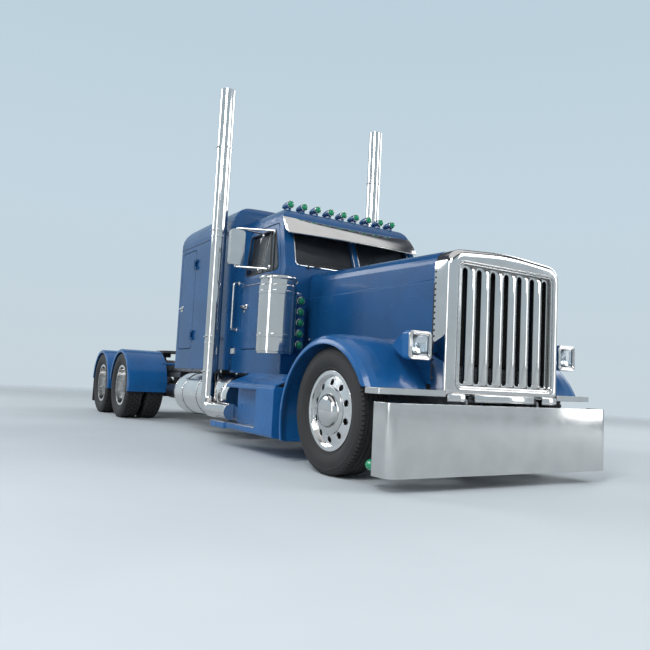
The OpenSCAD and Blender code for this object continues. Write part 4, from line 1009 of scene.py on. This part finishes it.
FLOOR = 1000.0
DIAL_WAY = Vector((-1.0, 0.0, 1.0)).normalized()
dials = Form()
dial_rings = Form()
for y, size in ((380, 46), (470, 62), (570, 62), (660, 46), (300, 34), (735, 34)):
    spot = Vector((-1570, y, 1832))
    dials.lathe([(size - 4, -4), (size - 4, 3), (0, 3)], spot, DIAL_WAY, 24)
    dial_rings.lathe([(size - 5, -2), (size + 2, -2), (size + 2, 6), (size - 4, 8)], spot, DIAL_WAY, 28, True)
    pin = spot + DIAL_WAY * 4
    dial_rings.tube([pin, pin + Vector((0.5, 0.4, 0.5)) * size * 0.8], 2, 6)
dials.done("dial_faces", "dial_face", "chassis")
dial_rings.done("dial_rings", "chrome", "chassis")

KNOB = [(0, 0), (20, 6), (28, 26), (24, 46), (0, 56)]
BOOT = [(80, 0), (70, 20), (52, 40), (40, 66), (24, 84), (14, 92)]
controls = Form()
for y in (380, 480, 590):
    controls.block((-1492, y - 32, 1120), (-1476, y + 32, 1230), 5)
    controls.tube([(-1480, y, 1175), (-1410, y, 1290)], 8, 8)
controls.tube(bent([(-1580, 70, 1040), (-1600, 70, 1240), (-1640, 90, 1430)], 60), 10, 10)
controls.lathe(KNOB, (-1638, 89, 1420), (-0.2, 0.1, 1), 18)
controls.lathe(BOOT, (-1582, 70, 1040), UP, 20)
controls.done("cab_controls", "gasket", "chassis")

SEAT_X, SEAT_Y = -2220.0, 470.0
FOLD = 46.0            # height of one fold of a seat's bellows
bases = Form()
for sign in SIGNS:
    y = sign * SEAT_Y
    bases.block((SEAT_X - 160, y - 170, FLOOR + 42), (SEAT_X + 160, y + 170, FLOOR + 90), 8)
    for k in range(5):
        bases.lathe([(120, 0), (138, 20), (138, 26), (120, FOLD)], (SEAT_X, y, FLOOR + 90 + FOLD * k), UP, 28)
    bases.block((SEAT_X - 190, y - 200, FLOOR + 320), (SEAT_X + 190, y + 200, FLOOR + 370), 10)
bases.done("seat_bases", "gasket", "chassis")


# Soft pieces, swelled by a cloth simulation; metres inside the functions

SWELL_FRAMES = 20
SWELL_PRESSURE = 4.0
SWELL_CAP = 0.024      # the furthest a point of a cushion moves
VOXEL = 0.012
SHRINK = 0.012         # room left for the swelling
SEWN = 0.012           # depth and width of a sewn channel


def bake(piece):
    """Puts the result of a piece's modifiers into its mesh."""
    shape = piece.evaluated_get(bpy.context.evaluated_depsgraph_get())
    data = bpy.data.meshes.new_from_object(shape)
    piece.modifiers.clear()
    piece.data = data


def soft(piece):
    """Smooths a pad and sets it riding on the chassis."""
    smooth = piece.modifiers.new("smooth", "SUBSURF")
    smooth.levels = 1
    smooth.render_levels = 1
    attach(piece, "chassis")


def cushion(name, low, high, look, turn=0.0, pivot=(0, 0, 0), channels=()):
    """A stuffed pad inside a box of millimetres: remeshed, swelled, then sewn along its channels (Y offsets)."""
    form = bmesh.new()
    shrink = Vector((SHRINK, SHRINK, SHRINK))
    low, high = Vector(low) / 1000 + shrink, Vector(high) / 1000 - shrink
    cube(form, low, high)
    bmesh.ops.bevel(form, geom=form.edges[:], offset=0.028, segments=3, affect="EDGES", profile=0.5)
    data = bpy.data.meshes.new(name)
    form.to_mesh(data)
    form.free()
    piece = into_scene(name, data)
    remesh = piece.modifiers.new("cells", "REMESH")
    remesh.mode = "VOXEL"
    remesh.voxel_size = VOXEL
    bake(piece)
    start = [vert.co.copy() for vert in piece.data.vertices]
    cloth = piece.modifiers.new("swell", "CLOTH")
    cloth.settings.use_pressure = True
    cloth.settings.uniform_pressure_force = SWELL_PRESSURE
    cloth.settings.effector_weights.gravity = 0.0
    for step in range(1, SWELL_FRAMES + 1):
        SCENE.frame_set(step)
    bake(piece)
    SCENE.frame_set(1)
    middle = (low + high) / 2
    spin = Matrix.Rotation(radians(turn), 3, "Y")
    hub = Vector(pivot) / 1000
    for vert, rest in zip(piece.data.vertices, start):
        move = vert.co - rest
        if move.length > SWELL_CAP:
            vert.co = rest + move.normalized() * SWELL_CAP
        for channel in channels:
            near = exp(-(((vert.co.y - middle.y) - channel / 1000) / SEWN) ** 2)
            vert.co.z -= SEWN * near if vert.co.z > middle.z else 0.0
        vert.co = spin @ (vert.co - hub) + hub
        vert.co.x += AXLE_X
    for face in piece.data.polygons:
        face.use_smooth = True
    piece.data.materials.append(LOOKS[look])
    soft(piece)
    return piece


def copy_across(piece, name):
    """The same cushion on the other side of the cab."""
    data = piece.data.copy()
    for vert in data.vertices:
        vert.co.y = -vert.co.y
    data.flip_normals()
    soft(into_scene(name, data))


# Cushions of one seat: name, low corner, high corner, lean in degrees, sewn channels
SEAT = [
    ("seat_cushion", (-2440, 222, FLOOR + 372), (-1982, 718, FLOOR + 505), 0.0, (-120, 0, 120)),
    ("seat_back", (-2470, 232, FLOOR + 500), (-2350, 708, FLOOR + 1010), -5.0, (-120, 120)),
    ("head_rest", (-2485, 330, FLOOR + 1020), (-2385, 610, FLOOR + 1160), -5.0, ()),
]
SEAT_PIVOT = (-2400, SEAT_Y, FLOOR + 500)
for name, low, high, lean, channels in SEAT:
    pad = cushion(name + "_left", low, high, "upholstery", lean, SEAT_PIVOT, channels)
    copy_across(pad, name + "_right")
    if name == "seat_cushion":
        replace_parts(pad, "seats")

BUNK_LOW, BUNK_HIGH = box_mm("bunk")
cushion("mattress", (BUNK_LOW.x + 10, BUNK_LOW.y + 4, FLOOR + 332), (BUNK_HIGH.x, BUNK_HIGH.y - 4, FLOOR + 486),
        "bedding", channels=(-600, -300, 0, 300, 600))
cushion("pillow", (BUNK_LOW.x + 120, 560, FLOOR + 492), (BUNK_HIGH.x - 140, 880, FLOOR + 600), "bedding")

bed = Form()
bed.block((BUNK_LOW.x, BUNK_LOW.y, FLOOR + 42), (BUNK_HIGH.x, BUNK_HIGH.y, FLOOR + 326), 10)
for y in (-600, 0, 600):
    bed.plate(rectangle((y - 270, FLOOR + 80), (y + 270, FLOOR + 290), 20), on_front(BUNK_HIGH.x - 1), 9, 3)
    bed.bow(*[(BUNK_HIGH.x + 6, y + dy, FLOOR + 240) for dy in (-50, 50)], (20, 0, 0), 8, 5, 8)
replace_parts(bed.done("bunk_base", "dash_plastic", "chassis"), "bunk")


# Studio

# Lamps: name, place, aim, width and height in metres, watts
LAMPS = [
    ("key", (9.5, -9.0, 8.5), (2.5, 0.0, 1.3), (4.0, 4.0), 820.0),
    ("fill", (12.5, 8.0, 7.5), (3.0, 0.0, 1.2), (5.0, 5.0), 430.0),
    ("back_light", (-9.0, -9.0, 8.0), (-1.0, 0.0, 1.6), (6.0, 6.0), 700.0),
    ("far_side", (0.0, 12.0, 8.0), (0.0, 0.0, 1.6), (6.0, 6.0), 450.0),
    ("right_strip", (4.5, -9.5, 3.4), (2.0, 0.0, 1.8), (1.3, 6.4), 110.0),
    ("left_strip", (10.0, 8.5, 3.4), (3.0, 0.0, 1.8), (1.6, 6.4), 110.0),
]
# Backdrop by height: share of the way from straight down to straight up, colour
SKY = [(0.0, (0.50, 0.55, 0.58)), (0.47, (0.58, 0.66, 0.71)), (0.62, (0.55, 0.67, 0.75)), (0.76, (0.50, 0.63, 0.72)),
       (0.79, (0.06, 0.07, 0.09)), (0.85, (0.08, 0.09, 0.11)), (0.88, (0.90, 0.92, 0.94)), (1.0, (0.95, 0.96, 0.97))]
AMBIENT, AMBIENT_STRENGTH = (0.92, 0.96, 1.0, 1.0), 0.42
FLOOR_COLOURS = ((0.54, 0.60, 0.64), (0.58, 0.64, 0.68))
FLOOR_R, FADE_NEAR, FADE_FAR = 24.0, 8.0, 22.0            # metres
# The picture's eye, in metres and degrees, with its lens and sensor in millimetres
EYE = (8.541, -4.094, 0.789)
YAW, PITCH, ROLL = (radians(a) for a in (148.65, 4.76, 2.89))
LENS, SENSOR = 36.53, 36.0


def area_light(name, place, aim, size, power):
    data = bpy.data.lights.new(name, "AREA")
    data.shape = "RECTANGLE"
    data.size, data.size_y = size
    data.energy = power
    lamp = into_scene(name, data)
    lamp.location = place
    lamp.rotation_euler = (Vector(aim) - Vector(place)).to_track_quat("-Z", "Y").to_euler()


def fade_out(shader):
    """Lets the floor run out into the backdrop between two distances from the middle."""
    reach = add(shader, "VectorMath")
    reach.operation = "LENGTH"
    span = add(shader, "MapRange", From_Min=FADE_NEAR, From_Max=FADE_FAR, To_Min=1.0, To_Max=0.0)
    span.interpolation_type = "SMOOTHSTEP"
    link(add(shader, "TexCoord").outputs["Object"], reach.inputs[0])
    link(reach.outputs["Value"], span.inputs["Value"])
    link(span.outputs["Result"], shader.inputs["Alpha"])


def backdrop():
    """A pale blue world that camera, metal and glass see, and even light for everything else."""
    world = bpy.data.worlds.new("studio")
    SCENE.world = world
    world.use_nodes = True
    nodes = world.node_tree.nodes
    lit = nodes["Background"]
    lit.inputs["Color"].default_value = AMBIENT
    lit.inputs["Strength"].default_value = AMBIENT_STRENGTH
    split = add(lit, "SeparateXYZ")
    span = add(lit, "MapRange", From_Min=-1.0)
    seen = add(lit, "Background")
    path = add(lit, "LightPath")
    mix = add(lit, "MixShader")
    link(add(lit, "TexCoord").outputs["Generated"], split.inputs["Vector"])
    link(split.outputs["Z"], span.inputs["Value"])
    link(ramp(span.outputs["Result"], SKY), seen.inputs["Color"])
    shows = path.outputs["Is Camera Ray"]
    for kind in ("Is Glossy Ray", "Is Transmission Ray"):
        either = add(lit, "Math")
        either.operation = "MAXIMUM"
        link(shows, either.inputs[0])
        link(path.outputs[kind], either.inputs[1])
        shows = either.outputs["Value"]
    link(shows, mix.inputs["Fac"])
    link(lit.outputs["Background"], mix.inputs[1])
    link(seen.outputs["Background"], mix.inputs[2])
    link(mix.outputs["Shader"], nodes["World Output"].inputs["Surface"])


def ground():
    """A pale round floor that keeps the truck's shadow."""
    data = bpy.data.meshes.new("floor")
    form = bmesh.new()
    bmesh.ops.create_circle(form, cap_ends=True, radius=FLOOR_R, segments=96)
    form.to_mesh(data)
    form.free()
    look, shader = material("floor", FLOOR_COLOURS[0], 0.85)
    tint(shader, noise(shader, 0.4, 4.0), *FLOOR_COLOURS)
    fade_out(shader)
    data.materials.append(look)
    floor = into_scene("floor", data)


def photo_camera():
    """The picture's eye: low, ahead of the right front corner, looking slightly up, a little rolled."""
    ahead = Vector((cos(YAW) * cos(PITCH), sin(YAW) * cos(PITCH), sin(PITCH)))
    right = ahead.cross(Vector(UP)).normalized()
    up = right.cross(ahead)
    right_rolled = right * cos(ROLL) + up * sin(ROLL)
    up_rolled = up * cos(ROLL) - right * sin(ROLL)
    data = bpy.data.cameras.new("eye")
    data.lens = LENS
    data.sensor_width = SENSOR
    data.clip_end = 500.0
    camera = into_scene("eye", data)
    columns = Matrix((right_rolled, up_rolled, -ahead)).transposed().to_4x4()
    camera.matrix_world = Matrix.Translation(EYE) @ columns
    SCENE.camera = camera


SCENE.view_settings.view_transform = "Standard"
backdrop()
for lamp in LAMPS:
    area_light(*lamp)
ground()
photo_camera()
